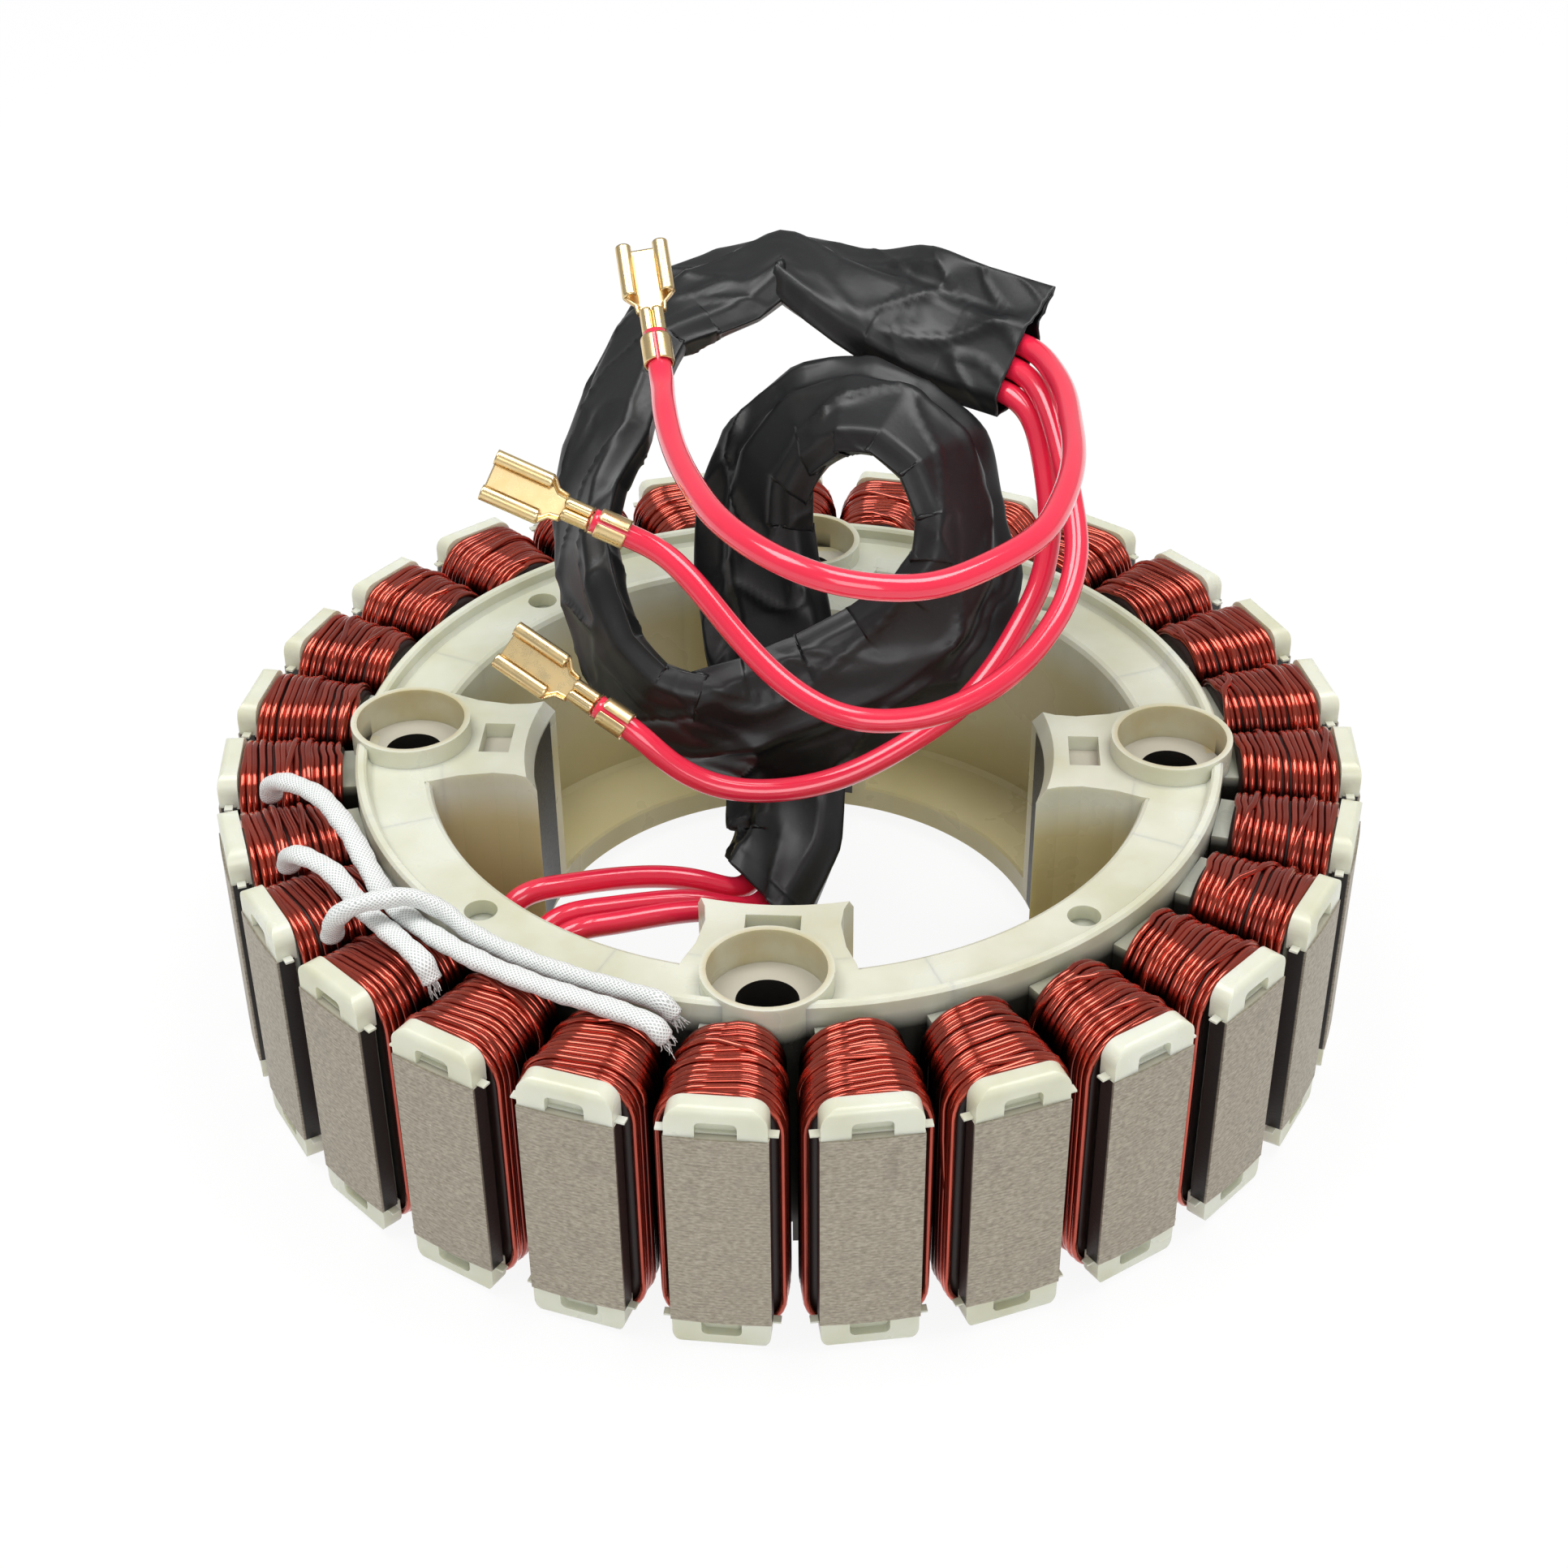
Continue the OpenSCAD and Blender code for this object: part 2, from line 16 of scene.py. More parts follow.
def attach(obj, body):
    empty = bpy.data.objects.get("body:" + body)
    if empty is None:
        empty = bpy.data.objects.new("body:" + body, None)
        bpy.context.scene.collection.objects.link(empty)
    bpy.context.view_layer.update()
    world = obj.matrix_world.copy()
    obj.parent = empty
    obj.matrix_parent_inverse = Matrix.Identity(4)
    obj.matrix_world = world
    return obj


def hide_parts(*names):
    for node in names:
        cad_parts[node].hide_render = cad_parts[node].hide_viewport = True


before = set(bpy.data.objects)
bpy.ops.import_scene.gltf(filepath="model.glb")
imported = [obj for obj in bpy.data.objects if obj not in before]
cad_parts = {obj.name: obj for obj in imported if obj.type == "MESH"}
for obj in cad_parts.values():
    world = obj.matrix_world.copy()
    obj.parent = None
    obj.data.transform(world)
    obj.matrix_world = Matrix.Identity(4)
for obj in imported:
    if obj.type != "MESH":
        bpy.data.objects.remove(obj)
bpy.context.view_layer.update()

LOG = logging.getLogger("wound_stator")
MM = 0.001
PHOTO = 1932.0
Array = NDArray[np.float64]


class Slot(Enum):
    """Material slots of the record, one for each kind of piece."""

    STEEL = "core_steel"
    NYLON = "moulded_nylon"
    COPPER = "enamelled_copper"
    SLEEVE = "sleeve_vinyl"
    LEAD = "lead_vinyl"
    BRASS = "terminal_brass"
    BRAID = "glass_braid"


# --- surfaces -----------------------------------------------------------------------------------


@dataclass
class Patch:
    """A grid surface: its points, its quads and end triangles, and coordinates in mm for each corner."""

    points: Array
    quads: NDArray[np.int64]
    tris: NDArray[np.int64]
    coords: Array
    tone: Array

    @staticmethod
    def of(points: Array, size: tuple[float, float] = (1.0, 1.0), ring: bool = True, loop: bool = False,
           caps: bool = False, tone: Array | None = None) -> "Patch":
        """Joins a rows x columns grid of points into quads that face columns x rows.

        Args:
            points: Grid of shape (rows, columns, 3).
            size: Girth and length in mm that the corner coordinates run over.
            ring: Whether the last column joins the first.
            loop: Whether the last row joins the first.
            caps: Whether a fan about the middle of each end row closes it.
            tone: A value for each row, kept as an attribute; on the wires it holds the enamel's tone and painted shade.

        Returns:
            The patch.
        """
        m, n, _ = points.shape
        i, j = np.meshgrid(np.arange(m if loop else m - 1), np.arange(n if ring else n - 1), indexing="ij")
        steps = [(0, 0), (0, 1), (1, 1), (1, 0)]
        quads = np.stack([(i + a) % m * n + (j + b) % n for a, b in steps], -1).reshape(-1, 4)
        coords = np.stack([np.stack([(j + b) / j.shape[1] * size[0], (i + a) / i.shape[0] * size[1]], -1)
                           for a, b in steps], -2).reshape(-1, 2)
        flat = points.reshape(-1, 3)
        level = np.repeat(np.zeros(m) if tone is None else tone, n)
        tris = np.zeros((0, 3), int)
        if caps:
            k, ends = np.arange(n), m * n
            flat = np.concatenate([flat, points[[0, -1]].mean(1)])
            level = np.append(level, level[[0, -1]])
            first = np.stack([(k + 1) % n, k, np.full(n, ends)], -1)
            last = np.stack([k, (k + 1) % n, np.full(n, ends + 1)], -1) + [(m - 1) * n, (m - 1) * n, 0]
            tris = np.concatenate([first, last])
            coords = np.concatenate([coords, np.zeros((tris.size, 2))])
        return Patch(flat, quads, tris, coords, level)


def add_piece(name: str, patches: Sequence[Patch], materials: Sequence[bpy.types.Material],
              index: Sequence[int] | None = None) -> bpy.types.Object:
    """Writes patches into one smooth mesh object at the origin.

    Args:
        name: Name of the piece.
        patches: Surfaces in mm.
        materials: Materials of the piece.
        index: Material number of each patch.

    Returns:
        The object, linked to the scene.
    """
    offsets = np.cumsum([0] + [len(p.points) for p in patches])
    corners, sizes, coords, slots = [], [], [], []
    for p, o, slot in zip(patches, offsets, index or [0] * len(patches)):
        corners += [(p.quads + o).ravel(), (p.tris + o).ravel()]
        sizes += [np.full(len(p.quads), 4), np.full(len(p.tris), 3)]
        coords.append(p.coords)
        slots.append(np.full(len(p.quads) + len(p.tris), slot))
    points, corners, sizes = np.concatenate([p.points for p in patches]), np.concatenate(corners), np.concatenate(sizes)
    mesh = bpy.data.meshes.new(name)
    mesh.vertices.add(len(points))
    mesh.vertices.foreach_set("co", (points * MM).astype(np.float32).ravel())
    mesh.loops.add(len(corners))
    mesh.loops.foreach_set("vertex_index", corners.astype(np.int32))
    mesh.polygons.add(len(sizes))
    mesh.polygons.foreach_set("loop_start", np.concatenate([[0], np.cumsum(sizes)[:-1]]).astype(np.int32))
    mesh.polygons.foreach_set("material_index", np.concatenate(slots).astype(np.int32))
    mesh.uv_layers.new(name="surface").data.foreach_set("uv", np.concatenate(coords).astype(np.float32).ravel())
    tone = mesh.attributes.new("tone", "FLOAT", "POINT")
    tone.data.foreach_set("value", np.concatenate([p.tone for p in patches]).astype(np.float32))
    mesh.update(calc_edges=True)
    mesh.validate()
    mesh.shade_smooth()
    for material in materials:
        mesh.materials.append(material)
    piece = bpy.data.objects.new(name, mesh)
    bpy.context.scene.collection.objects.link(piece)
    return piece


def seat(piece: bpy.types.Object, slot: Slot, *nodes: str) -> bpy.types.Object:
    """Makes a piece ride on the root body and stand for CAD nodes, and logs it.

    Args:
        piece: The piece.
        slot: Its material slot; not used.
        nodes: CAD nodes that it stands for.

    Returns:
        The piece.
    """
    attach(piece, "root")
    if nodes:
        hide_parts(*nodes)
    LOG.info("%s stands for %s, %d faces", piece.name, ", ".join(nodes), len(piece.data.polygons))
    return piece


def unit(v: Array) -> Array:
    """Vectors divided by their length."""
    return v / np.linalg.norm(v, axis=-1, keepdims=True)


def smooth_path(points: Array, per_span: int) -> Array:
    """Runs a Catmull-Rom curve through points: each span is a cubic whose end slopes are half the
    chord between its neighbours.

    Args:
        points: Points of any number of columns.
        per_span: Samples for each span.

    Returns:
        Points on the curve.
    """
    p = np.concatenate([2 * points[:1] - points[1:2], points, 2 * points[-1:] - points[-2:-1]])
    t = (np.arange(per_span) / per_span)[None, :, None]
    a, b, c, d = (p[k:len(p) - 3 + k, None] for k in range(4))
    curve = 0.5 * (2 * b + (c - a) * t + (2 * a - 5 * b + 4 * c - d) * t**2 + (3 * b - a - 3 * c + d) * t**3)
    return np.concatenate([curve.reshape(-1, points.shape[1]), points[-1:]])


def path_length(path: Array) -> float:
    """Length of a path in its own unit."""
    return float(np.linalg.norm(np.diff(path, axis=0), axis=1).sum())


def even_path(path: Array, step: float) -> Array:
    """Finds points on a path at even distances, by its length summed from the start.

    Args:
        path: Points whose first three columns are places; the other columns follow along.
        step: Distance of about which the points stand apart.

    Returns:
        The points.
    """
    s = np.concatenate([[0], np.cumsum(np.linalg.norm(np.diff(path[:, :3], axis=0), axis=1))])
    at = np.linspace(0, s[-1], int(round(s[-1] / step)) + 1)
    return np.stack([np.interp(at, s, column) for column in path.T], -1)


def eased_path(path: Array, reach: int) -> Array:
    """Evens out a path's kinks: each point becomes the mean of its neighbours under a raised cosine,
    and the path runs on past its ends as its own point reflection, so the ends stay.

    Args:
        path: Points at even distances.
        reach: Neighbours to each side that count.

    Returns:
        As many points.
    """
    padded = np.concatenate([2 * path[0] - path[reach:0:-1], path, 2 * path[-1] - path[-2:-reach - 2:-1]])
    weights = 1 + np.cos(np.pi * np.arange(-reach, reach + 1) / (reach + 1))
    return sum(w * padded[k:k + len(path)] for k, w in enumerate(weights / weights.sum()))


def path_frames(path: Array) -> tuple[Array, Array, Array]:
    """Carries a side vector along a path without turning about it: at each station the last side
    vector loses its part along the tangent.

    Args:
        path: Stations of shape (m, 3).

    Returns:
        Tangents, side vectors and the vectors square to both.
    """
    t = unit(np.gradient(path, axis=0))
    start = np.cross(t[0], [0, 0, 1] if abs(t[0, 2]) < 0.9 else [1, 0, 0])
    sides = [start / np.linalg.norm(start)]
    for tangent in t[1:]:
        s = sides[-1] - tangent * (sides[-1] @ tangent)
        sides.append(s / np.linalg.norm(s))
    side = np.array(sides)
    return t, side, np.cross(t, side)


def tube(path: Array, radius: float | Array, sides: int, flat: float = 1.0, caps: bool = True) -> Patch:
    """Carries a circle along a path: station + r (side cos a + flat * normal sin a).

    Args:
        path: Stations in mm.
        radius: Radius, or one for each station.
        sides: Points on the circle.
        flat: Height of the section over its width.
        caps: Whether fans close both ends.

    Returns:
        The surface.
    """
    _, side, normal = path_frames(path)
    a = 2 * np.pi * np.arange(sides) / sides
    ring = side[:, None] * np.cos(a)[None, :, None] + flat * normal[:, None] * np.sin(a)[None, :, None]
    r = np.broadcast_to(np.asarray(radius, float), len(path))
    size = (float(2 * np.pi * r.mean()), path_length(path))
    return Patch.of(path[:, None] + r[:, None, None] * ring, size, caps=caps)


def lattice_noise(u: Array, v: Array, seed: int) -> Array:
    """Smooth noise from 0 to 1: random values on a whole-number lattice, blended by smooth steps.

    Args:
        u: First coordinate.
        v: Second coordinate, of the same shape.
        seed: Seed of the values.

    Returns:
        The noise at each point.
    """
    cells = 64
    table = np.random.default_rng(seed).random((cells, cells))
    i, j = np.floor(u).astype(int), np.floor(v).astype(int)
    a, b = u - i, v - j
    a, b = a * a * (3 - 2 * a), b * b * (3 - 2 * b)
    at = {(p, q): table[(i + p) % cells, (j + q) % cells] for p in (0, 1) for q in (0, 1)}
    return (at[0, 0] * (1 - a) + at[1, 0] * a) * (1 - b) + (at[0, 1] * (1 - a) + at[1, 1] * a) * b


def ramp(x: Array, low: float, high: float) -> Array:
    """Smooth step from 0 at low to 1 at high."""
    t = np.clip((x - low) / (high - low), 0, 1)
    return t * t * (3 - 2 * t)


# --- finishes -----------------------------------------------------------------------------------


def linear(code: str) -> tuple[float, float, float, float]:
    """Turns an sRGB hex value into a linear colour.

    Args:
        code: Six hex digits.

    Returns:
        Red, green, blue and alpha.
    """
    c = np.array([int(code[k:k + 2], 16) / 255 for k in (0, 2, 4)])
    c = np.where(c <= 0.04045, c / 12.92, ((c + 0.055) / 1.055) ** 2.4)
    return (float(c[0]), float(c[1]), float(c[2]), 1.0)


def add_node(tree: bpy.types.NodeTree, kind: str, inputs: dict[Any, Any] | Sequence[Any] = (),
             **settings: Any) -> bpy.types.Node:
    """Adds a shader node with its settings and links.

    Args:
        tree: Node tree of the material.
        kind: Node type without its ShaderNode prefix.
        inputs: Number, hex colour or output socket for each input, by name or number or in order.
        settings: Properties of the node.

    Returns:
        The node.
    """
    node = tree.nodes.new("ShaderNode" + kind)
    for key, value in settings.items():
        setattr(node, key, value)
    for key, value in inputs.items() if isinstance(inputs, dict) else enumerate(inputs):
        if isinstance(value, bpy.types.NodeSocket):
            tree.links.new(value, node.inputs[key])
        else:
            node.inputs[key].default_value = linear(value) if isinstance(value, str) else value
    return node


@dataclass(frozen=True)
class Finish:
    """A finish of the stator: a Principled shader whose inputs its own dress method gives."""

    name: str = "finish"

    def make(self) -> bpy.types.Material:
        """Builds the material.

        Returns:
            The material.
        """
        material = bpy.data.materials.new(self.name)
        material.use_nodes = True
        tree = material.node_tree
        tree.nodes.clear()
        where = add_node(tree, "TexCoord").outputs["Object"]
        shader = add_node(tree, "BsdfPrincipled", self.dress(tree, where))
        add_node(tree, "OutputMaterial", {"Surface": shader.outputs[0]})
        return material

    def dress(self, tree: bpy.types.NodeTree, where: bpy.types.NodeSocket) -> dict[str, Any]:
        """Adds the nodes that feed the shader.

        Args:
            tree: Node tree of the material.
            where: Object coordinates, in metres.

        Returns:
            Number, hex colour or socket for each of the shader's inputs.
        """
        raise NotImplementedError


@dataclass(frozen=True)
class LaminatedSteel(Finish):
    """Stamped silicon steel: the stack's outer faces are ground pale after stacking, so the sheet
    edges show as fine level lines; every other face keeps its brown-black oxide and varnish."""

    name: str = "ground_laminated_steel"
    ground: str = "B0A797"
    worn: str = "8A8273"
    stain: str = "8A8276"
    nick: str = "D6D2C8"
    oxide: str = "211E1C"
    seat: str = "B7B3A4"
    face_r: float = 83.7
    edge: float = 0.1
    sheet: float = 0.5
    flatten: float = 2.6
    grain_mm: float = 0.75
    stain_mm: float = 3.2
    nick_mm: float = 0.4
    relief_mm: float = 0.06

    def dress(self, tree: bpy.types.NodeTree, where: bpy.types.NodeSocket) -> dict[str, Any]:
        """Ground faces lie beyond face_r from the axis, and the bolt seats lie flat between the lugs.

        Args:
            tree: Node tree of the material.
            where: Object coordinates, in metres.

        Returns:
            Number, hex colour or socket for each of the shader's inputs.
        """
        axes = add_node(tree, "SeparateXYZ", [where]).outputs
        plan = add_node(tree, "CombineXYZ", [axes[0], axes[1]]).outputs[0]
        radius = add_node(tree, "VectorMath", [plan], operation="LENGTH").outputs["Value"]
        span = [(self.face_r - self.edge) * MM, (self.face_r + self.edge) * MM]
        face = add_node(tree, "MapRange", [radius, *span]).outputs[0]
        # sheet edges: level lines one sheet apart, their height wavering with a flat, wide grain
        stretch = add_node(tree, "Mapping", {"Vector": where, "Scale": (1.0, 1.0, self.flatten)}).outputs[0]
        grain, blotch, spots = (
            add_node(tree, "TexNoise", {"Vector": place, "Scale": 1 / (size * MM), "Detail": detail}).outputs[0]
            for place, size, detail in ((stretch, self.grain_mm, 6.0), (where, self.stain_mm, 4.0),
                                        (stretch, self.nick_mm, 2.0)))
        phase = add_node(tree, "Math", [axes[2], 2 * np.pi / (self.sheet * MM)], operation="MULTIPLY").outputs[0]
        lines = add_node(tree, "Math", [phase], operation="SINE").outputs[0]
        lined = add_node(tree, "Math", [lines, 0.035, grain], operation="MULTIPLY_ADD").outputs[0]
        # the ground face: worn to bright along the grain, then stains, then bright nicks
        share = add_node(tree, "MapRange", [lined, 0.3, 0.7]).outputs[0]
        pale = add_node(tree, "Mix", {0: share, 6: self.worn, 7: self.ground}, data_type="RGBA").outputs[2]
        share = add_node(tree, "MapRange", [blotch, 0.56, 0.74, 0.0, 0.4]).outputs[0]
        pale = add_node(tree, "Mix", {0: share, 6: pale, 7: self.stain}, data_type="RGBA").outputs[2]
        share = add_node(tree, "MapRange", [spots, 0.70, 0.76, 0.0, 0.7]).outputs[0]
        pale = add_node(tree, "Mix", {0: share, 6: pale, 7: self.nick}, data_type="RGBA").outputs[2]
        normal = add_node(tree, "NewGeometry").outputs["Normal"]
        up = add_node(tree, "SeparateXYZ", [normal]).outputs[2]
        level = add_node(tree, "MapRange", [up, 0.8, 0.9]).outputs[0]
        dark = add_node(tree, "Mix", {0: level, 6: self.oxide, 7: self.seat}, data_type="RGBA").outputs[2]
        bump = {"Strength": 0.5, "Distance": self.relief_mm * MM, "Height": lined}
        return {
            "Base Color": add_node(tree, "Mix", {0: face, 6: dark, 7: pale}, data_type="RGBA").outputs[2],
            "Metallic": add_node(tree, "MapRange", [face, 0.0, 1.0, 0.0, 0.6]).outputs[0],
            "Roughness": add_node(tree, "MapRange", [lined, 0.2, 0.8, 0.56, 0.42]).outputs[0],
            "Normal": add_node(tree, "Bump", bump).outputs[0]}


@dataclass(frozen=True)
class MouldedNylon(Finish):
    """Glass-filled nylon 66, injection moulded: milky and slightly see-through, so light bleeds
    into it and thin walls glow. Its colour holds painted shade: amber inside the collars, deep olive on the
    bore's wall and near black in the slots."""

    name: str = "moulded_nylon_66"
    cream: str = "D8DACB"
    olive: str = "C7C7AD"
    # painted shade: amber inside the collars, shade on the bore's wall, and the slots' near black
    amber: str = "B0954F"
    shade: str = "C2B378"
    slot_shade: str = "0E0A08"
    bolt_r: float = 56.5
    collar_r: float = 8.0
    collar_t: float = 0.9
    wall_r: float = 53.6
    rim_r: float = 63.6
    neck_r: float = 80.0
    plate_z: float = 37.0
    cloud_mm: float = 14.0
    stain_mm: float = 5.0
    bleed_mm: float = 2.2
    relief_mm: float = 0.15

    def dress(self, tree: bpy.types.NodeTree, where: bpy.types.NodeSocket) -> dict[str, Any]:
        """Cream with cloudy olive, and painted shade: amber inside the collars, a deep olive on the
        wall of the bore below the plate, and near black in the slots between the coils.

        Args:
            tree: Node tree of the material.
            where: Object coordinates, in metres.

        Returns:
            Number, hex colour or socket for each of the shader's inputs.
        """
        axes = add_node(tree, "SeparateXYZ", [where]).outputs
        plan = add_node(tree, "CombineXYZ", [axes[0], axes[1]]).outputs[0]
        radius = add_node(tree, "VectorMath", [plan], operation="LENGTH").outputs["Value"]
        # distance to the nearest bolt: the plan folds into one quarter, which holds two half bolts
        folded = add_node(tree, "VectorMath", [plan], operation="ABSOLUTE").outputs[0]
        reach = [add_node(tree, "VectorMath", [folded, spot], operation="DISTANCE").outputs["Value"]
                 for spot in ((self.bolt_r * MM, 0, 0), (0, self.bolt_r * MM, 0))]
        near = add_node(tree, "Math", reach, operation="MINIMUM").outputs[0]
        cloud, stain = (
            add_node(tree, "TexNoise", {"Vector": where, "Scale": 1 / (size * MM), "Detail": 4.0}).outputs[0]
            for size in (self.cloud_mm, self.stain_mm))
        share = add_node(tree, "MapRange", [cloud, 0.35, 0.7]).outputs[0]
        body = add_node(tree, "Mix", {0: share, 6: self.cream, 7: self.olive}, data_type="RGBA").outputs[2]
        # painted shade inside the collars: amber, patchy with the second noise
        span = [self.collar_r * MM, (self.collar_r + self.collar_t) * MM]
        inside = add_node(tree, "MapRange", [near, *span, 0.8, 0.0]).outputs[0]
        collar_shade = add_node(tree, "Math", [inside, stain], operation="MULTIPLY").outputs[0]
        body = add_node(tree, "Mix", {0: collar_shade, 6: body, 7: self.amber}, data_type="RGBA").outputs[2]
        # painted shade on the bore's wall, from the plate down
        below = add_node(tree, "MapRange", [axes[2], self.plate_z * MM, (self.plate_z - 6) * MM]).outputs[0]
        span = [self.wall_r * MM, (self.wall_r - 0.4) * MM]
        bore = add_node(tree, "MapRange", [radius, *span, 0.0, 0.72]).outputs[0]
        bore = add_node(tree, "Math", [bore, below], operation="MULTIPLY").outputs[0]
        body = add_node(tree, "Mix", {0: bore, 6: body, 7: self.shade}, data_type="RGBA").outputs[2]
        # painted shade in the slots, from the rim to the pole ends and below the plate's top
        span = [self.rim_r * MM, (self.rim_r + 0.1) * MM]
        slot = add_node(tree, "MapRange", [radius, *span, 0.0, 0.96]).outputs[0]
        ends = add_node(tree, "MapRange", [radius, self.neck_r * MM, (self.neck_r + 0.2) * MM, 1.0, 0.0]).outputs[0]
        low = add_node(tree, "MapRange", [axes[2], (self.plate_z + 3) * MM, self.plate_z * MM]).outputs[0]
        for limit in (ends, low):
            slot = add_node(tree, "Math", [slot, limit], operation="MULTIPLY").outputs[0]
        bump = {"Strength": 0.12, "Distance": self.relief_mm * MM, "Height": stain}
        return {
            "Base Color": add_node(tree, "Mix", {0: slot, 6: body, 7: self.slot_shade}, data_type="RGBA").outputs[2],
            "Roughness": add_node(tree, "MapRange", [cloud, 0.3, 0.7, 0.24, 0.38]).outputs[0],
            "Subsurface Weight": 0.3, "Subsurface Radius": (1.0, 0.9, 0.55), "Subsurface Scale": self.bleed_mm * MM,
            "IOR": 1.53, "Normal": add_node(tree, "Bump", bump).outputs[0]}


@dataclass(frozen=True)
class EnamelledCopper(Finish):
    """Drawn copper wire under red-brown enamel cured in the oven: metal glows through a clear glossy
    coat, each turn differs a little where the varnish dip left it thicker, and the wires in the slots turn near black
    as painted shade."""

    name: str = "enamelled_copper_wire"
    bright: str = "C34C35"
    deep: str = "8C2B1B"
    wire_slot_shade: str = "1E0705"
    streak_mm: float = 2.5

    def dress(self, tree: bpy.types.NodeTree, where: bpy.types.NodeSocket) -> dict[str, Any]:
        """The turn's own tone, with the painted shade of the slots added, and a streaky noise choose
        between two reds; a value over 1, which only the slots reach, goes on to near-black painted shade.

        Args:
            tree: Node tree of the material.
            where: Object coordinates, in metres.

        Returns:
            Number, hex colour or socket for each of the shader's inputs.
        """
        tone = add_node(tree, "Attribute", attribute_name="tone").outputs["Fac"]
        grain = {"Vector": where, "Scale": 1 / (self.streak_mm * MM), "Detail": 3.0}
        streak = add_node(tree, "TexNoise", grain).outputs[0]
        mixed = add_node(tree, "Math", [streak, 0.5, tone], operation="MULTIPLY_ADD").outputs[0]
        share = add_node(tree, "MapRange", [mixed, 0.15, 1.0]).outputs[0]
        colour = add_node(tree, "Mix", {0: share, 6: self.bright, 7: self.deep}, data_type="RGBA").outputs[2]
        # a value over 1 comes only from painted slot shade and turns the wire near black
        share = add_node(tree, "MapRange", [mixed, 1.0, 1.9]).outputs[0]
        return {
            "Base Color": add_node(tree, "Mix", {0: share, 6: colour, 7: self.wire_slot_shade}, data_type="RGBA").outputs[2],
            "Roughness": add_node(tree, "MapRange", [streak, 0.3, 0.7, 0.13, 0.19]).outputs[0],
            "Metallic": 0.9, "Coat Weight": 0.7, "Coat Roughness": 0.1}


@dataclass(frozen=True)
class BuriedTurns(Finish):
    """The lower layers of the winding, varnished copper that little light reaches, coloured near black as painted
    shade.
    """

    name: str = "buried_copper_turns"
    dark: str = "140504"
    brown: str = "260B07"
    cloud_mm: float = 1.5

    def dress(self, tree: bpy.types.NodeTree, where: bpy.types.NodeSocket) -> dict[str, Any]:
        """Painted shade: dark red-brown, cloudy.

        Args:
            tree: Node tree of the material.
            where: Object coordinates, in metres.

        Returns:
            Number, hex colour or socket for each of the shader's inputs.
        """
        grain = {"Vector": where, "Scale": 1 / (self.cloud_mm * MM), "Detail": 3.0}
        cloud = add_node(tree, "TexNoise", grain).outputs[0]
        colour = add_node(tree, "Mix", {0: cloud, 6: self.dark, 7: self.brown}, data_type="RGBA").outputs[2]
        return {"Base Color": colour, "Roughness": 0.5}


@dataclass(frozen=True)
class LeadVinyl(Finish):
    """Extruded PVC lead cover, pinkish red: glossy, with the fine waviness of the extruder's die."""

    name: str = "extruded_lead_vinyl"
    red: str = "F02C4B"
    deep: str = "DC2342"
    cloud_mm: float = 9.0
    die_mm: float = 1.2
    bleed_mm: float = 1.0
    relief_mm: float = 0.05

    def dress(self, tree: bpy.types.NodeTree, where: bpy.types.NodeSocket) -> dict[str, Any]:
        """Two near reds in long clouds, and a light die grain in the gloss.

        Args:
            tree: Node tree of the material.
            where: Object coordinates, in metres.

        Returns:
            Number, hex colour or socket for each of the shader's inputs.
        """
        cloud, grain = (
            add_node(tree, "TexNoise", {"Vector": where, "Scale": 1 / (size * MM), "Detail": detail}).outputs[0]
            for size, detail in ((self.cloud_mm, 3.0), (self.die_mm, 2.0)))
        bump = {"Strength": 0.08, "Distance": self.relief_mm * MM, "Height": grain}
        return {
            "Base Color": add_node(tree, "Mix", {0: cloud, 6: self.red, 7: self.deep}, data_type="RGBA").outputs[2],
            "Roughness": add_node(tree, "MapRange", [cloud, 0.3, 0.7, 0.14, 0.2]).outputs[0],
            "Coat Weight": 0.6, "Coat Roughness": 0.06, "Subsurface Weight": 0.08,
            "Subsurface Radius": (1.0, 0.3, 0.3), "Subsurface Scale": self.bleed_mm * MM,
            "Normal": add_node(tree, "Bump", bump).outputs[0]}


@dataclass(frozen=True)
class SleeveVinyl(Finish):
    """Soft black PVC lay-flat tube: satin, with fine scuffs that turn grey and a leathery handling grain."""

    name: str = "lay_flat_sleeve_vinyl"
    black: str = "0C0D0F"
    scuffed: str = "222427"
    cloud_mm: float = 7.0
    grain_mm: float = 0.9
    relief_mm: float = 0.1

    def dress(self, tree: bpy.types.NodeTree, where: bpy.types.NodeSocket) -> dict[str, Any]:
        """Scuffs are the peaks of a fine noise that also gives the grain; wide clouds vary the gloss.

        Args:
            tree: Node tree of the material.
            where: Object coordinates, in metres.

        Returns:
            Number, hex colour or socket for each of the shader's inputs.
        """
        cloud, fine = (
            add_node(tree, "TexNoise", {"Vector": where, "Scale": 1 / (size * MM), "Detail": 4.0}).outputs[0]
            for size in (self.cloud_mm, self.grain_mm))
        scuff = add_node(tree, "MapRange", [fine, 0.62, 0.75, 0.0, 0.35]).outputs[0]
        colour = add_node(tree, "Mix", {0: scuff, 6: self.black, 7: self.scuffed}, data_type="RGBA").outputs[2]
        bump = {"Strength": 0.2, "Distance": self.relief_mm * MM, "Height": fine}
        return {
            "Base Color": colour,
            "Roughness": add_node(tree, "MapRange", [cloud, 0.3, 0.7, 0.34, 0.46]).outputs[0],
            "Normal": add_node(tree, "Bump", bump).outputs[0]}


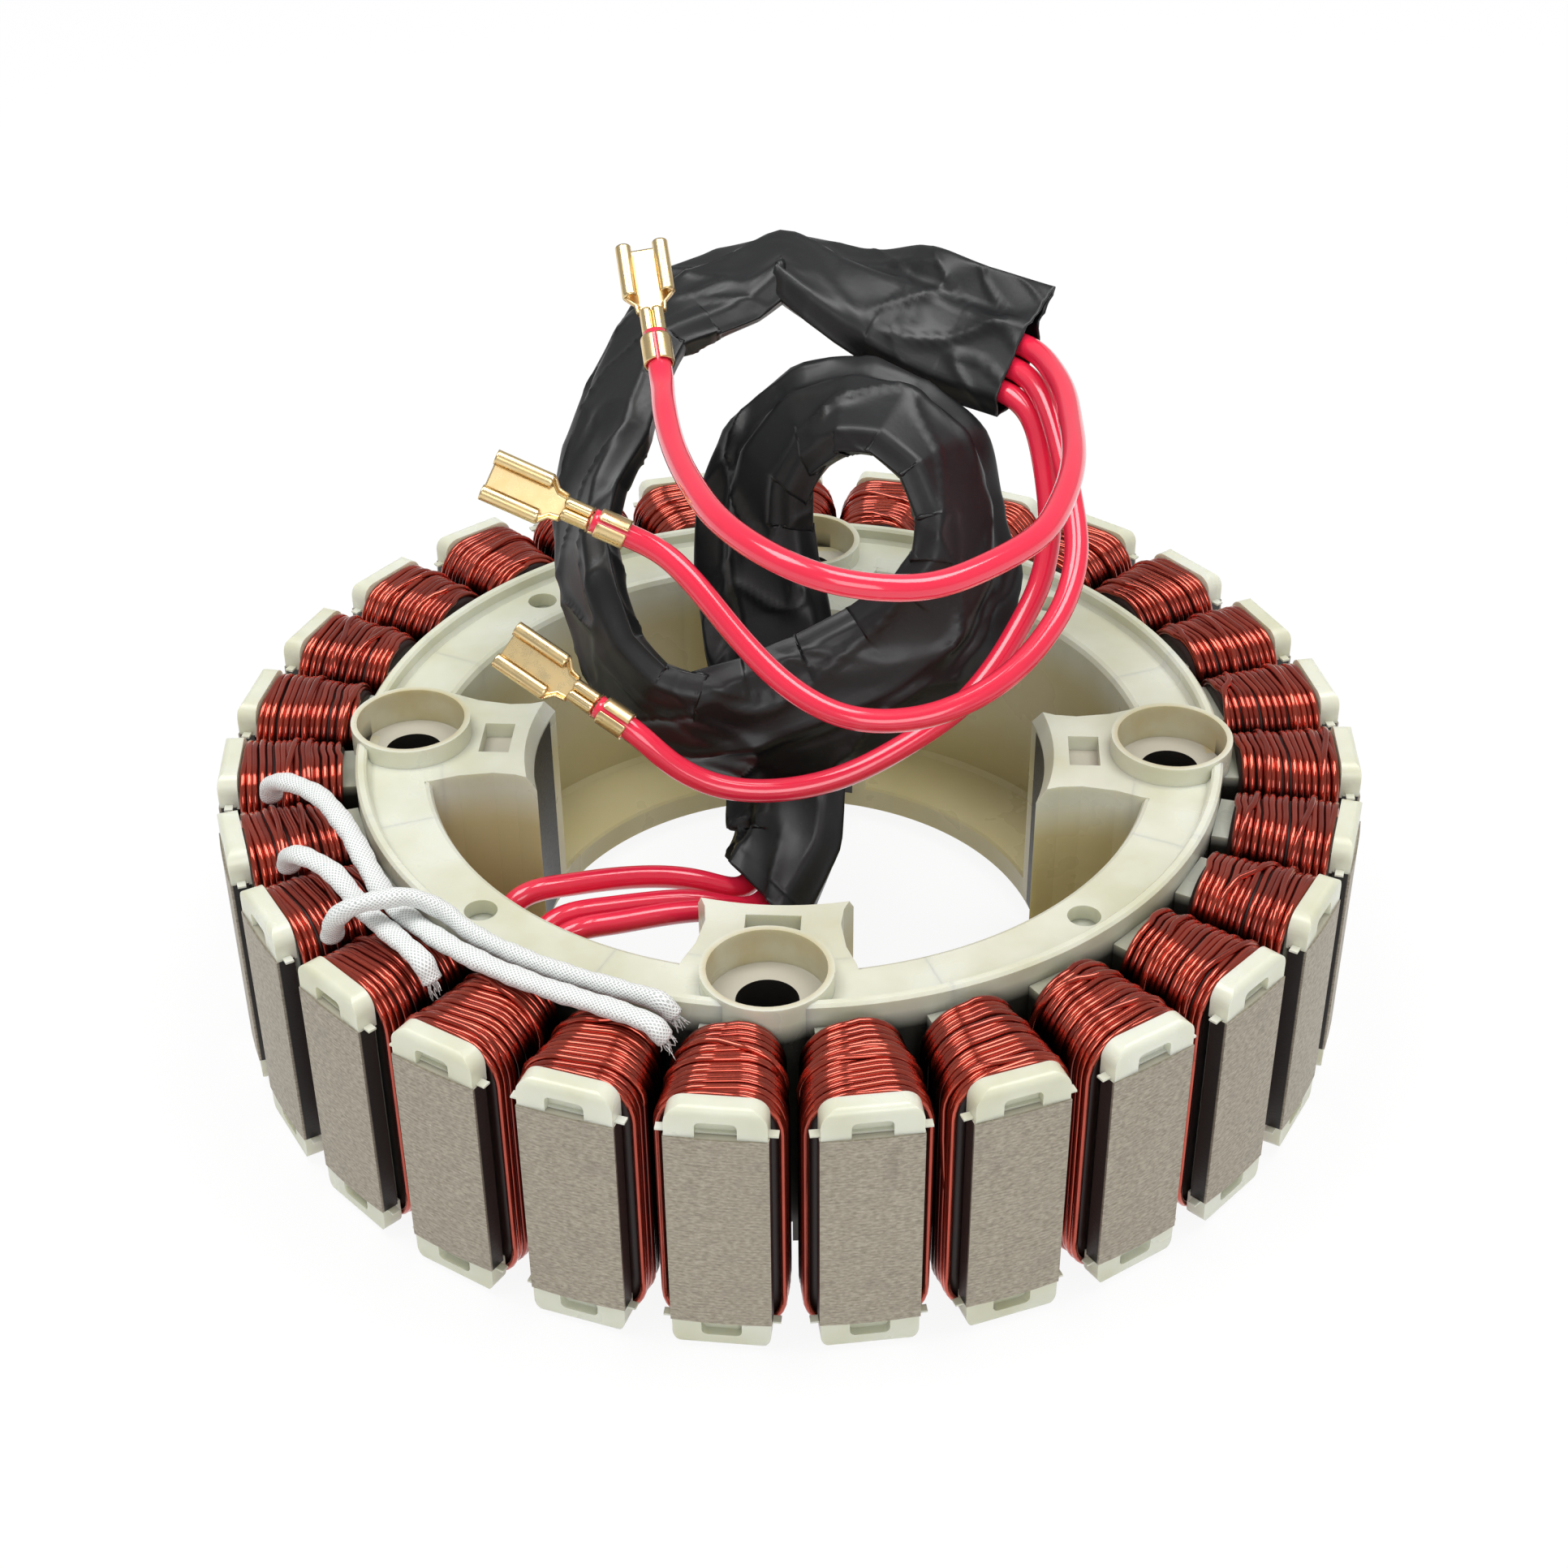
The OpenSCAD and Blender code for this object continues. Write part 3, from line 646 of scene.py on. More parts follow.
@dataclass(frozen=True)
class StampedBrass(Finish):
    """Bright stamped brass sheet: pale gold and shiny, a little dulled in patches by handling."""

    name: str = "stamped_brass"
    gold: str = "F2DDAE"
    deep: str = "E3C285"
    cloud_mm: float = 2.0

    def dress(self, tree: bpy.types.NodeTree, where: bpy.types.NodeSocket) -> dict[str, Any]:
        """Two golds, and a roughness that follows the same clouds.

        Args:
            tree: Node tree of the material.
            where: Object coordinates, in metres.

        Returns:
            Number, hex colour or socket for each of the shader's inputs.
        """
        grain = {"Vector": where, "Scale": 1 / (self.cloud_mm * MM), "Detail": 4.0}
        cloud = add_node(tree, "TexNoise", grain).outputs[0]
        return {
            "Base Color": add_node(tree, "Mix", {0: cloud, 6: self.gold, 7: self.deep}, data_type="RGBA").outputs[2],
            "Roughness": add_node(tree, "MapRange", [cloud, 0.3, 0.7, 0.22, 0.34]).outputs[0], "Metallic": 1.0}


@dataclass(frozen=True)
class GlassBraid(Finish):
    """Braided glass-fibre sleeving, acrylic coated: white crossing yarns with a soft sheen, and a
    few turquoise tracer specks."""

    name: str = "coated_glass_braid"
    hollow_shade: str = "C2C7C4"
    white: str = "F3F5F3"
    tracer: str = "4FBFC2"
    yarn: float = 0.62
    speck_mm: float = 1.6
    relief_mm: float = 0.15

    def dress(self, tree: bpy.types.NodeTree, where: bpy.types.NodeSocket) -> dict[str, Any]:
        """Two slanted families of waves on the girth and length coordinates cross into a braid; its hollows are greyer
        as painted shade.

        Args:
            tree: Node tree of the material.
            where: Object coordinates, in metres.

        Returns:
            Number, hex colour or socket for each of the shader's inputs.
        """
        place = add_node(tree, "UVMap", uv_map="surface").outputs[0]
        girth, length, _ = add_node(tree, "SeparateXYZ", [place]).outputs
        waves = []
        for slant in (1.0, -1.0):
            along = add_node(tree, "Math", [length, slant, girth], operation="MULTIPLY_ADD").outputs[0]
            turns = add_node(tree, "Math", [along, 2 * np.pi / self.yarn], operation="MULTIPLY").outputs[0]
            waves.append(add_node(tree, "Math", [turns], operation="SINE").outputs[0])
        braid = add_node(tree, "Math", waves, operation="MAXIMUM").outputs[0]
        # painted shade: greyer in the braid's hollows, white on the yarns
        share = add_node(tree, "MapRange", [braid, -0.6, 0.9]).outputs[0]
        shade = add_node(tree, "Mix", {0: share, 6: self.hollow_shade, 7: self.white}, data_type="RGBA").outputs[2]
        grain = {"Vector": where, "Scale": 1 / (self.speck_mm * MM), "Detail": 2.0}
        speck = add_node(tree, "TexNoise", grain).outputs[0]
        speck = add_node(tree, "MapRange", [speck, 0.735, 0.76, 0.0, 0.55]).outputs[0]
        bump = {"Strength": 0.6, "Distance": self.relief_mm * MM, "Height": braid}
        return {
            "Base Color": add_node(tree, "Mix", {0: speck, 6: shade, 7: self.tracer}, data_type="RGBA").outputs[2],
            "Roughness": 0.55, "Sheen Weight": 0.2, "Normal": add_node(tree, "Bump", bump).outputs[0]}


# --- studio -------------------------------------------------------------------------------------


@dataclass
class Studio:
    """Camera at the photograph's place, pale floor and soft light."""

    place: tuple[float, float, float] = (17.5317, -315.9465, 253.2106)
    back: tuple[float, float, float] = (0.04507763, -0.81236174, 0.58140899)
    right: tuple[float, float, float] = (0.998464, 0.05540436, 0.0)
    roll: float = -0.4971693
    focal_px: float = 3158.316
    centre_px: tuple[float, float] = (6.907, 35.743)
    floor_half: float = 3000.0
    floor_z: float = -0.02
    floor_paint: str = "F4F4F4"
    floor_glow: float = 0.9
    room_level: float = 0.42
    # name, place in metres, size in metres and watts of each lamp, and the place that all are aimed at
    lamps: tuple[tuple[str, tuple[float, float, float], float, float], ...] = (
        ("softbox_left", (-0.34, -0.05, 1.0), 0.5, 5.2), ("softbox_right", (0.34, 0.1, 1.0), 0.5, 5.2),
        ("fill", (0.2, -1.1, 0.6), 0.6, 4.2))
    aim: tuple[float, float, float] = (0.0, 0.0, 0.02)

    def build(self) -> None:
        """Makes the camera, the floor, the lamps and the world."""
        self.add_camera()
        self.add_floor()
        self.add_lamps()
        bpy.context.scene.view_settings.view_transform = "Standard"
        LOG.info("studio set")

    def add_camera(self) -> None:
        """Places the camera by its axes; the roll turns right and up about the view line."""
        back, right = np.array(self.back), np.array(self.right)
        up, a = np.cross(back, right), np.radians(self.roll)
        matrix = np.eye(4)
        matrix[:3, 0] = right * np.cos(a) + up * np.sin(a)
        matrix[:3, 1] = up * np.cos(a) - right * np.sin(a)
        matrix[:3, 2] = back
        matrix[:3, 3] = np.array(self.place) * MM
        data = bpy.data.cameras.new("camera")
        data.sensor_width = 36.0
        data.lens = self.focal_px / PHOTO * data.sensor_width
        data.shift_x, data.shift_y = -self.centre_px[0] / PHOTO, self.centre_px[1] / PHOTO
        data.clip_start, data.clip_end = 0.01, 20.0
        camera = bpy.data.objects.new("camera", data)
        bpy.context.scene.collection.objects.link(camera)
        camera.matrix_world = Matrix(matrix.tolist())
        bpy.context.scene.camera = camera

    def add_floor(self) -> None:
        """A wide pale plane: to the eye and in reflections it adds a glow that takes it to white,
        and its matt share keeps the shadow."""
        h = self.floor_half
        grid = np.stack(np.meshgrid(np.linspace(-h, h, 5), np.linspace(-h, h, 5), indexing="xy"), -1)
        grid = np.concatenate([grid, np.full(grid.shape[:2] + (1,), self.floor_z)], -1)
        material = bpy.data.materials.new("matt_pale_floor")
        material.use_nodes = True
        tree = material.node_tree
        tree.nodes.clear()
        matt = add_node(tree, "BsdfDiffuse", {"Color": self.floor_paint}).outputs[0]
        glow = add_node(tree, "Emission", {"Color": "FFFFFF", "Strength": 1.0}).outputs[0]
        rays = add_node(tree, "LightPath").outputs
        seen = rays["Is Camera Ray"]
        for ray in ("Is Glossy Ray", "Is Transmission Ray"):
            seen = add_node(tree, "Math", [seen, rays[ray]], operation="MAXIMUM").outputs[0]
        part = add_node(tree, "Math", [seen, self.floor_glow], operation="MULTIPLY").outputs[0]
        mixed = add_node(tree, "MixShader", [part, matt, glow]).outputs[0]
        add_node(tree, "OutputMaterial", {"Surface": mixed})
        floor = add_piece("floor", [Patch.of(grid, ring=False)], [material])

    def add_lamps(self) -> None:
        """Two softboxes overhead to the left and right, a front fill, and a world that is white to the
        camera and lights at a lower level."""
        for name, place, size, watts in self.lamps:
            data = bpy.data.lights.new(name, "AREA")
            data.size, data.energy = size, watts
            lamp = bpy.data.objects.new(name, data)
            bpy.context.scene.collection.objects.link(lamp)
            back = unit(np.array(place) - np.array(self.aim))
            right = unit(np.cross([0.0, 1.0, 0.0] if abs(back[2]) > 0.9 else [0.0, 0.0, 1.0], back))
            matrix = np.eye(4)
            matrix[:3, :3] = np.stack([right, np.cross(back, right), back], -1)
            matrix[:3, 3] = place
            lamp.matrix_world = Matrix(matrix.tolist())
        world = bpy.data.worlds.new("white_room")
        bpy.context.scene.world = world
        world.use_nodes = True
        tree = world.node_tree
        tree.nodes.clear()
        seen = add_node(tree, "LightPath").outputs["Is Camera Ray"]
        strength = add_node(tree, "MapRange", {"Value": seen, "To Min": self.room_level, "To Max": 1.0}).outputs[0]
        glow = add_node(tree, "Background", {"Color": "FFFFFF", "Strength": strength}).outputs[0]
        add_node(tree, "OutputWorld", {"Surface": glow})


# --- harness ------------------------------------------------------------------------------------

# places of the sleeve's middle line, its turn about that line in degrees and its share of the full width
SLEEVE_ROUTE = np.array([
    [-2, -13.5, 25, -35, 0.8], [0, -9, 29, -32, 0.88], [-0.5, -3.5, 34, -25, 0.94], [-1, 2.5, 40.5, -20, 0.95],
    [-2.5, 8.5, 46.5, -18, 0.95], [-4, 14, 53.5, -18, 0.95], [-5.5, 17.5, 59.5, -22, 0.95],
    [-6, 20.5, 66.5, -28, 0.95], [-4.5, 22.5, 74.5, -32, 0.95], [1, 23.5, 81.5, -34, 0.95],
    [8.5, 21.5, 85.5, -35, 0.95], [15.5, 19, 85, -36, 0.94], [21.5, 15.5, 80.5, -40, 0.92],
    [25, 11, 73.5, -40, 0.92], [25.5, 6.5, 66.5, -34, 0.94], [22, 2.5, 60, -22, 0.98], [14.5, -0.5, 54, -12, 1],
    [5, -3, 49.5, -14, 1], [-4.5, -5, 47, -25, 0.98], [-13.5, -5.5, 46, -40, 0.94], [-21, -4, 49, -50, 0.9],
    [-26, 0, 54, -58, 0.84], [-28.5, 5, 59.5, -62, 0.8], [-30.5, 11, 65.5, -64, 0.76],
    [-30.5, 17.5, 71.5, -58, 0.82], [-28.5, 25, 77, -48, 0.92], [-26, 32.5, 82.5, -48, 0.86],
    [-22.5, 38.5, 87.5, -50, 0.8], [-17, 43, 90.5, -42, 0.92], [-10, 46, 93, -40, 0.96],
    [-3, 48.5, 95.5, -46, 0.84], [4.5, 46, 93.5, -36, 0.96], [14, 42, 91.5, -14, 1], [24, 36, 90, 0, 1],
    [33.5, 29.5, 90, 0, 1]])
# places of each lead from the lower flange to the sleeve, and from the sleeve to its terminal
LEAD_TAILS = [
    [[-39.5, -27, 2], [-39.5, -27, 9], [-40, -27.5, 15], [-40.5, -28, 22], [-40, -27.5, 27],
     [-37.5, -25.5, 30], [-32.5, -23, 29.5], [-27, -20, 28.5], [-21.5, -17.5, 27.5], [-15.5, -16, 26.5],
     [-10, -15, 24.5], [-6, -14.5, 22.5]],
    [[-35.5, -31, 2], [-35.5, -31, 8], [-36, -31.5, 13], [-36.5, -31.5, 18.5], [-35.5, -30, 24],
     [-32.5, -27, 27], [-25.5, -24, 26.5], [-18, -21.5, 26], [-12, -19.5, 25], [-6.5, -18.5, 22.5],
     [-2.5, -17, 22.5]],
    [[-31, -35, 2], [-31, -35, 8], [-31.5, -35.5, 13], [-32.5, -35.5, 18.5], [-33, -33, 23.5],
     [-30.5, -31.5, 28], [-24.5, -29, 27.5], [-19, -27, 27.5], [-12.5, -24.5, 27], [-7, -22.5, 25.5],
     [-2.5, -21, 23.5], [0.5, -19, 23]]]
LEAD_SWINGS = [
    [[36.5, 24.5, 90.5], [38.5, 15, 91], [39, 4, 91.5], [39, -6.5, 92.5], [38, -16, 93], [36, -24.5, 93],
     [33.5, -31, 93], [27, -38.5, 93], [19.5, -44, 93], [9.5, -46, 94.5], [1.5, -43.5, 96],
     [-6, -35.5, 96.5], [-11, -24, 96], [-14.5, -12, 95.5], [-16.5, -2, 96], [-18, 8.5, 97]],
    [[36, 22, 86.5], [38, 16.5, 83], [39.5, 11, 79], [40.5, 6, 75.5], [41, 1.5, 72.5], [40, -3, 69.5],
     [38.5, -7, 67.5], [35.5, -11.5, 65], [32, -15.5, 63], [27.5, -18.5, 61], [19.5, -21.5, 59],
     [9.5, -22, 59], [1, -19, 62], [-6, -14.5, 67], [-12, -10, 72.5], [-17, -6.5, 76], [-22, -5, 77.5]],
    [[34.5, 22.5, 83.5], [36, 19, 79.5], [37, 14.5, 75.5], [37.5, 10.5, 71.5], [37, 7.5, 68], [36, 4.5, 64.5],
     [33.5, 1, 61], [31, -3, 58], [25.5, -8.5, 53], [16.5, -13.5, 48.5], [8, -17, 45.5], [-0.5, -19, 44.5],
     [-8.5, -20, 45.5], [-14.5, -20, 48.5], [-18, -19.5, 51.5], [-21.5, -18.5, 54.5]]]
TERMINAL_DIRS = np.array([[-0.19, 0.85, 0.5], [-0.92, 0.15, 0.36], [-0.84, 0.33, 0.43]])


@dataclass
class Harness:
    """Three leads from the lower flange through a lay-flat sleeve to push-on terminals."""

    lead_d: float = 3.4
    lead_gap: float = 0.3
    sleeve_w: float = 19.0
    sleeve_t: float = 0.4
    tight: float = 0.7
    crimp_in: float = 5.2
    crease: float = 0.75
    lead_step: float = 0.8
    lead_ease: int = 8
    lead_sides: int = 18
    per_span: int = 12
    # the film's rows along its length, and its columns round it
    film_row: float = 0.5
    film_columns: int = 72
    film_per_span: int = 14
    hem: float = 1.0
    # the film's lower mouth, from the first route point: place, turn and share of the width
    mouth: tuple[float, ...] = (-0.9, -2.4, -1.7, 0.0, 0.04)
    # how far the mouth's right corner hangs below its middle, and how far up the film that reaches
    skew: float = 5.0
    skew_l: float = 16.0
    facing: tuple[float, float, float] = (0.05, -0.81, 0.58)

    def __post_init__(self) -> None:
        """Works out the sleeve's flat side at each route point, as the solids do."""
        p = SLEEVE_ROUTE[:, :3]
        k = np.arange(len(p))
        t = unit(p[np.minimum(k + 1, len(p) - 1)] - p[np.maximum(k - 1, 0)])
        w = unit(np.cross(t, np.array(self.facing)))
        turn = np.radians(SLEEVE_ROUTE[:, 3])[:, None]
        self.sides = w * np.cos(turn) + np.cross(t, w) * np.sin(turn)

    def build(self) -> None:
        vinyl, black, brass = LeadVinyl().make(), SleeveVinyl().make(), StampedBrass().make()
        sleeve = seat(self.sleeve(black), Slot.SLEEVE, "harness_sleeve")
        for k in range(3):
            terminal = seat(Terminal(k, self).build(brass), Slot.BRASS, f"terminal_{k + 1}")
            path = even_path(smooth_path(self.lead_points(k), self.per_span), self.lead_step)
            path = eased_path(path, self.lead_ease)
            lead = add_piece(f"lead_cable_{k + 1}", [tube(path, self.lead_d / 2, self.lead_sides)], [vinyl])
            seat(lead, Slot.LEAD, f"lead_{k + 1}")

    def lead_points(self, k: int) -> Array:
        """Route of a lead: its tail, its place across the sleeve at each station, and its swing.

        Args:
            k: Number of the lead, from 0.

        Returns:
            Route points in mm.
        """
        across = (self.lead_d + self.lead_gap) * (k - 1) + (SLEEVE_ROUTE[:, 4] - self.tight) * self.sleeve_w / 2
        inside = SLEEVE_ROUTE[:, :3] + self.sides * across[:, None]
        swing = np.array(LEAD_SWINGS[k])
        end = swing[-1] + unit(TERMINAL_DIRS[k]) * np.array([[-3.0], [0.0], [self.crimp_in]])
        return np.concatenate([np.array(LEAD_TAILS[k]), inside, swing[:-1], end])

    def sleeve(self, material: bpy.types.Material) -> bpy.types.Object:
        """The sleeve: a collapsed tube whose half thickness follows the three leads and falls away
        over the empty flap. Its line bends mostly at the route's points, as creased film does; the
        flap ripples along its length, and slanted ridges of noise dent both faces. The lower mouth
        flares, and is skewed towards the leads that come in from the left.

        Args:
            material: Its finish.

        Returns:
            The piece.
        """
        first = np.concatenate([SLEEVE_ROUTE[0] + self.mouth, self.sides[0]])
        route = np.concatenate([first[None], np.concatenate([SLEEVE_ROUTE, self.sides], 1)])
        fine = smooth_path(route, self.film_per_span)
        k = np.arange(len(fine)) / self.film_per_span
        straight = np.stack([np.interp(k, np.arange(len(route)), column) for column in route.T], -1)
        rows = even_path(fine * (1 - self.crease) + straight * self.crease, self.film_row)
        path, share = rows[:, :3], rows[:, 4]
        t = unit(np.gradient(path, axis=0))
        w = unit(rows[:, 5:8] - t * np.sum(rows[:, 5:8] * t, -1, keepdims=True))
        b = np.cross(t, w)
        s = np.arange(len(path))[:, None] * self.film_row
        a = 2 * np.pi * (np.arange(self.film_columns) + 0.5)[None] / self.film_columns
        half = (share * self.sleeve_w / 2)[:, None] + self.hem
        bundle = ((share - self.tight) * self.sleeve_w / 2)[:, None]
        y = half * np.cos(a)
        # half thickness: full over the leads, thin over the flap, and nothing at both edges
        full = 1 - ramp(np.abs(y - bundle), 5.2, 7.6)
        edge = np.sqrt(np.clip(1 - np.abs(np.cos(a)) ** 12, 0, 1))
        thick = (0.45 + 2.1 * full) * edge
        # ripples bend the flap as a whole; ridges stand on each face by itself, two families that cross
        flap = ramp(bundle - y, 4.2, 9.0)
        face = np.sign(np.sin(a)) * 9
        ripple = (lattice_noise(s / 10 + 0 * y, y / 14 + 3, 11) - 0.5) * 4.6 * flap
        broad = 1 - np.abs(2 * lattice_noise(s / 13 + y * 0.09, y / 9 + 7 + face, 5) - 1)
        crossed = 1 - np.abs(2 * lattice_noise(s / 9 - y * 0.16, y / 7 + 20 + face, 8) - 1)
        thick = thick + 0.8 * broad**6 * edge + 0.45 * crossed**9 * edge
        low = 1 - ramp(s, 0, self.skew_l)
        z = np.sign(np.sin(a)) * np.maximum(thick * (1 + 0.8 * low), 0.12) + ripple
        points = path[:, None] + w[:, None] * y[..., None] + b[:, None] * z[..., None]
        points = points - t[:, None] * (self.skew * low * y / half)[..., None]
        piece = add_piece("sleeve_tube", [Patch.of(points, (2 * self.sleeve_w, float(s[-1, 0])))], [material])
        wall = piece.modifiers.new("wall", "SOLIDIFY")
        wall.thickness, wall.offset = self.sleeve_t * 0.5 * MM, -1.0
        return piece


@dataclass
class Terminal:
    """Push-on receptacle of folded brass sheet on a lead's end."""

    number: int
    harness: Harness
    sheet: float = 0.4
    rows: int = 90
    columns: int = 40
    clear: float = 0.22
    # place along the terminal, then half floor, first bend's radius and angle, wall, second bend's
    # radius and angle, and lip of the folded section
    stations: tuple[tuple[float, ...], ...] = (
        (0.0, 0.02, 1.95, 2.98, 0.02, 0.3, 0.02, 0.02), (4.2, 0.02, 1.95, 2.98, 0.02, 0.3, 0.02, 0.02),
        (4.5, 1.15, 0.80, 0.60, 0.05, 0.3, 0.02, 0.02), (5.5, 1.10, 0.80, 0.80, 0.05, 0.3, 0.02, 0.02),
        (5.8, 0.30, 1.25, 2.50, 0.05, 0.5, 2.2, 0.15), (9.4, 0.30, 1.25, 2.50, 0.05, 0.5, 2.2, 0.15),
        (9.7, 1.05, 0.80, 1.10, 0.35, 0.3, 0.02, 0.02), (11.2, 1.25, 0.80, 1.30, 0.45, 0.3, 0.02, 0.02),
        (12.3, 2.20, 1.10, 1.45, 0.60, 0.3, 0.02, 0.02), (12.6, 2.45, 1.12, 1.57, 0.05, 0.92, 2.75, 0.2),
        (21.0, 2.45, 1.12, 1.57, 0.05, 0.92, 2.75, 0.2))

    def build(self, material: bpy.types.Material) -> bpy.types.Object:
        """Folds the sheet: along each half section the direction turns by the two bends, and its
        cosine and sine summed along the section give the outline; the stations blend in between.

        Args:
            material: Its finish.

        Returns:
            The piece.
        """
        table = np.array(self.stations)
        x = np.unique(np.concatenate([np.linspace(0, table[-1, 0], self.rows), table[:, 0]]))
        f, r1, a1, h, r2, a2, g = (np.interp(x, table[:, 0], c)[:, None] for c in table.T[1:])
        ends = np.cumsum(np.concatenate([f, r1 * a1, h, r2 * a2, g], 1), 1)
        s = np.linspace(0, 1, self.columns)[None] * ends[:, 4:]
        angle = a1 * np.clip((s - ends[:, :1]) / (r1 * a1), 0, 1)
        angle = angle + a2 * np.clip((s - ends[:, 2:3]) / (r2 * a2), 0, 1)
        step = np.diff(s, axis=1)
        mid = (angle[:, 1:] + angle[:, :-1]) / 2
        y = np.concatenate([0 * x[:, None], np.cumsum(np.cos(mid) * step, 1)], 1)
        z = np.concatenate([0 * x[:, None], np.cumsum(np.sin(mid) * step, 1)], 1)
        y = np.concatenate([-y[:, :0:-1], y], 1)
        z = np.concatenate([z[:, :0:-1], z], 1) - self.harness.lead_d / 2 - self.clear
        way = unit(TERMINAL_DIRS[self.number])
        across = unit(np.cross(np.array(self.harness.facing), way))
        up = np.cross(way, across)
        base = np.array(LEAD_SWINGS[self.number][-1])
        points = base + x[:, None, None] * way + y[..., None] * across + z[..., None] * up
        piece = add_piece(f"terminal_fold_{self.number + 1}", [Patch.of(points, ring=False)], [material])
        wall = piece.modifiers.new("sheet", "SOLIDIFY")
        wall.thickness, wall.offset = self.sheet * MM, 0.0
        return piece


# --- windings -----------------------------------------------------------------------------------


@dataclass
class Winding:
    """One pole's coil: a wire wound in a slightly ragged helix over dark lower layers."""

    number: int
    poles: int = 27
    inner: float = 65.6
    outer: float = 80.5
    middle: float = 21.1
    half_h: float = 20.9
    half_w: float = 8.6
    half_in: float = 7.0
    taper: float = 11.0
    corner: float = 6.4
    wire: float = 0.96
    turns: int = 14
    strays: int = 2
    per_turn: int = 54
    wire_sides: int = 10
    core_columns: int = 72
    core_in: float = 0.95
    hole_w: float = 4.7
    hole_h: float = 17.6

    def loop(self, u: Array, x: Array, inset: Array | float) -> tuple[Array, Array]:
        """Round-cornered loop about a pole: a core rectangle's corner plus the corner radius along a
        turning normal; corners take more of the turn's stations than sides do.

        Args:
            u: Share of a turn, from the middle of the underside.
            x: Distance from the stator's axis.
            inset: Depth under the coil's surface.

        Returns:
            Sideways and vertical places.
        """
        marks = np.cumsum([0, 2, 8, 6, 8, 6, 8, 6, 8, 2]) / 54  # side, corner, side and so on, from the underside
        u = u % 1.0
        cy = np.interp(u, marks, [0, 1, 1, 1, 1, -1, -1, -1, -1, 0])
        cz = np.interp(u, marks, [-1, -1, -1, 1, 1, 1, 1, -1, -1, -1])
        turn = np.radians(np.interp(u, marks, [-90, -90, 0, 0, 90, 90, 180, 180, 270, 270]))
        w = np.minimum(self.half_w, self.half_in + (x - self.inner) / self.taper * (self.half_w - self.half_in))
        r = self.corner - inset
        y = cy * (w - self.corner) + r * np.cos(turn)
        z = cz * (self.half_h - self.corner) + r * np.sin(turn)
        return y, z + self.middle

    def wires(self) -> list[Patch]:
        """Lays the outer helix, a last turn against the end flange and the strays that surface on the
        crown, as round wires: the centre line follows the loop, and the section's circle stands
        square to it.

        Returns:
            A surface for each wire, in the pole's own frame.
        """
        rng = np.random.default_rng(100 + self.number)
        per = self.per_turn
        r = self.wire / 2
        patches = []
        # helix: each turn steps over on the crown, and turns waver a little out of step
        t = np.arange(self.turns * per + 1) / per
        phase = rng.random(6) * 2 * np.pi
        rate = np.array([0.11, 0.23, 0.47, 0.31, 0.53, 0.9]) + rng.normal(0, 0.02, 6)
        wave = np.sin(2 * np.pi * rate[None] * t[:, None] + phase[None])
        span = self.outer - self.inner - self.wire
        turn = np.floor(t) + ramp(t % 1.0, 0.34, 0.66)
        x = self.inner + r + turn / self.turns * span + wave[:, :3] @ [0.08, 0.10, 0.06]
        x = np.clip(x, self.inner + r, self.outer - r)
        lift = wave[:, 3:] @ [0.09, 0.07, 0.05]
        # painted shade darkens the wires on the loop's sides in the slots, less near the outer end
        side = 1 - ramp(np.minimum(np.abs(t % 1 - 0.24), np.abs(t % 1 - 0.76)), 0.06, 0.14)
        tone = 0.5 * rng.random(self.turns + 1)[np.floor(t).astype(int)]
        tone = tone + 1.6 * side * (1 - ramp(x, self.outer - 5, self.outer - 1.5))
        patches.append(self.wire_patch(t, x, r + 0.21 - lift, tone))
        u = np.arange(per) / per
        end = (np.full(per, value) for value in (self.outer - r, r + 0.25, 0.3))
        patches.append(self.wire_patch(u, *end, loop=True))
        for at in self.inner + 1.5 + (span - 2) * (np.arange(self.strays) + rng.random(self.strays)) / self.strays:
            slant = rng.normal(0, 0.8)
            x = np.clip(at + slant * np.sin(2 * np.pi * (u - 0.5)) + 0.3 * np.sin(4 * np.pi * u + rng.random() * 6),
                        self.inner + r, self.outer - r)
            start, stop = 0.30 + 0.1 * rng.random(), 0.62 + 0.1 * rng.random()
            out = ramp(u, start - 0.1, start) * (1 - ramp(u, stop, stop + 0.1))
            tone = np.full(per, 0.1 + 0.4 * rng.random())
            patches.append(self.wire_patch(u, x, r + 1.1 - 1.35 * out, tone, loop=True))
        return patches

    def wire_patch(self, t: Array, x: Array, inset: Array, tone: Array, loop: bool = False) -> Patch:
        """Carries the wire's circle along its centre line, square to the line and the pole.

        Args:
            t: Turns along the wire.
            x: Distance from the stator's axis.
            inset: Depth of the centre line under the coil's surface.
            tone: Tone of the enamel along the wire, with painted shade in the slots.
            loop: Whether the wire closes on itself.

        Returns:
            The surface in the pole's own frame, the pole along X.
        """
        y, z = self.loop(t, x, inset)
        line = np.stack([x, y, z], -1)
        ahead, behind = (np.roll(line, k, 0) for k in (-1, 1))
        if not loop:
            ahead[-1], behind[0] = 2 * line[-1] - line[-2], 2 * line[0] - line[1]
        way = unit(ahead - behind)
        side = unit(np.array([1.0, 0, 0]) - way * way[:, :1])
        normal = np.cross(way, side)
        a = 2 * np.pi * (np.arange(self.wire_sides) + 0.5) / self.wire_sides
        ring = side[:, None] * np.cos(a)[None, :, None] + normal[:, None] * np.sin(a)[None, :, None]
        return Patch.of(line[:, None] + self.wire / 2 * ring, loop=loop, caps=not loop, tone=tone)

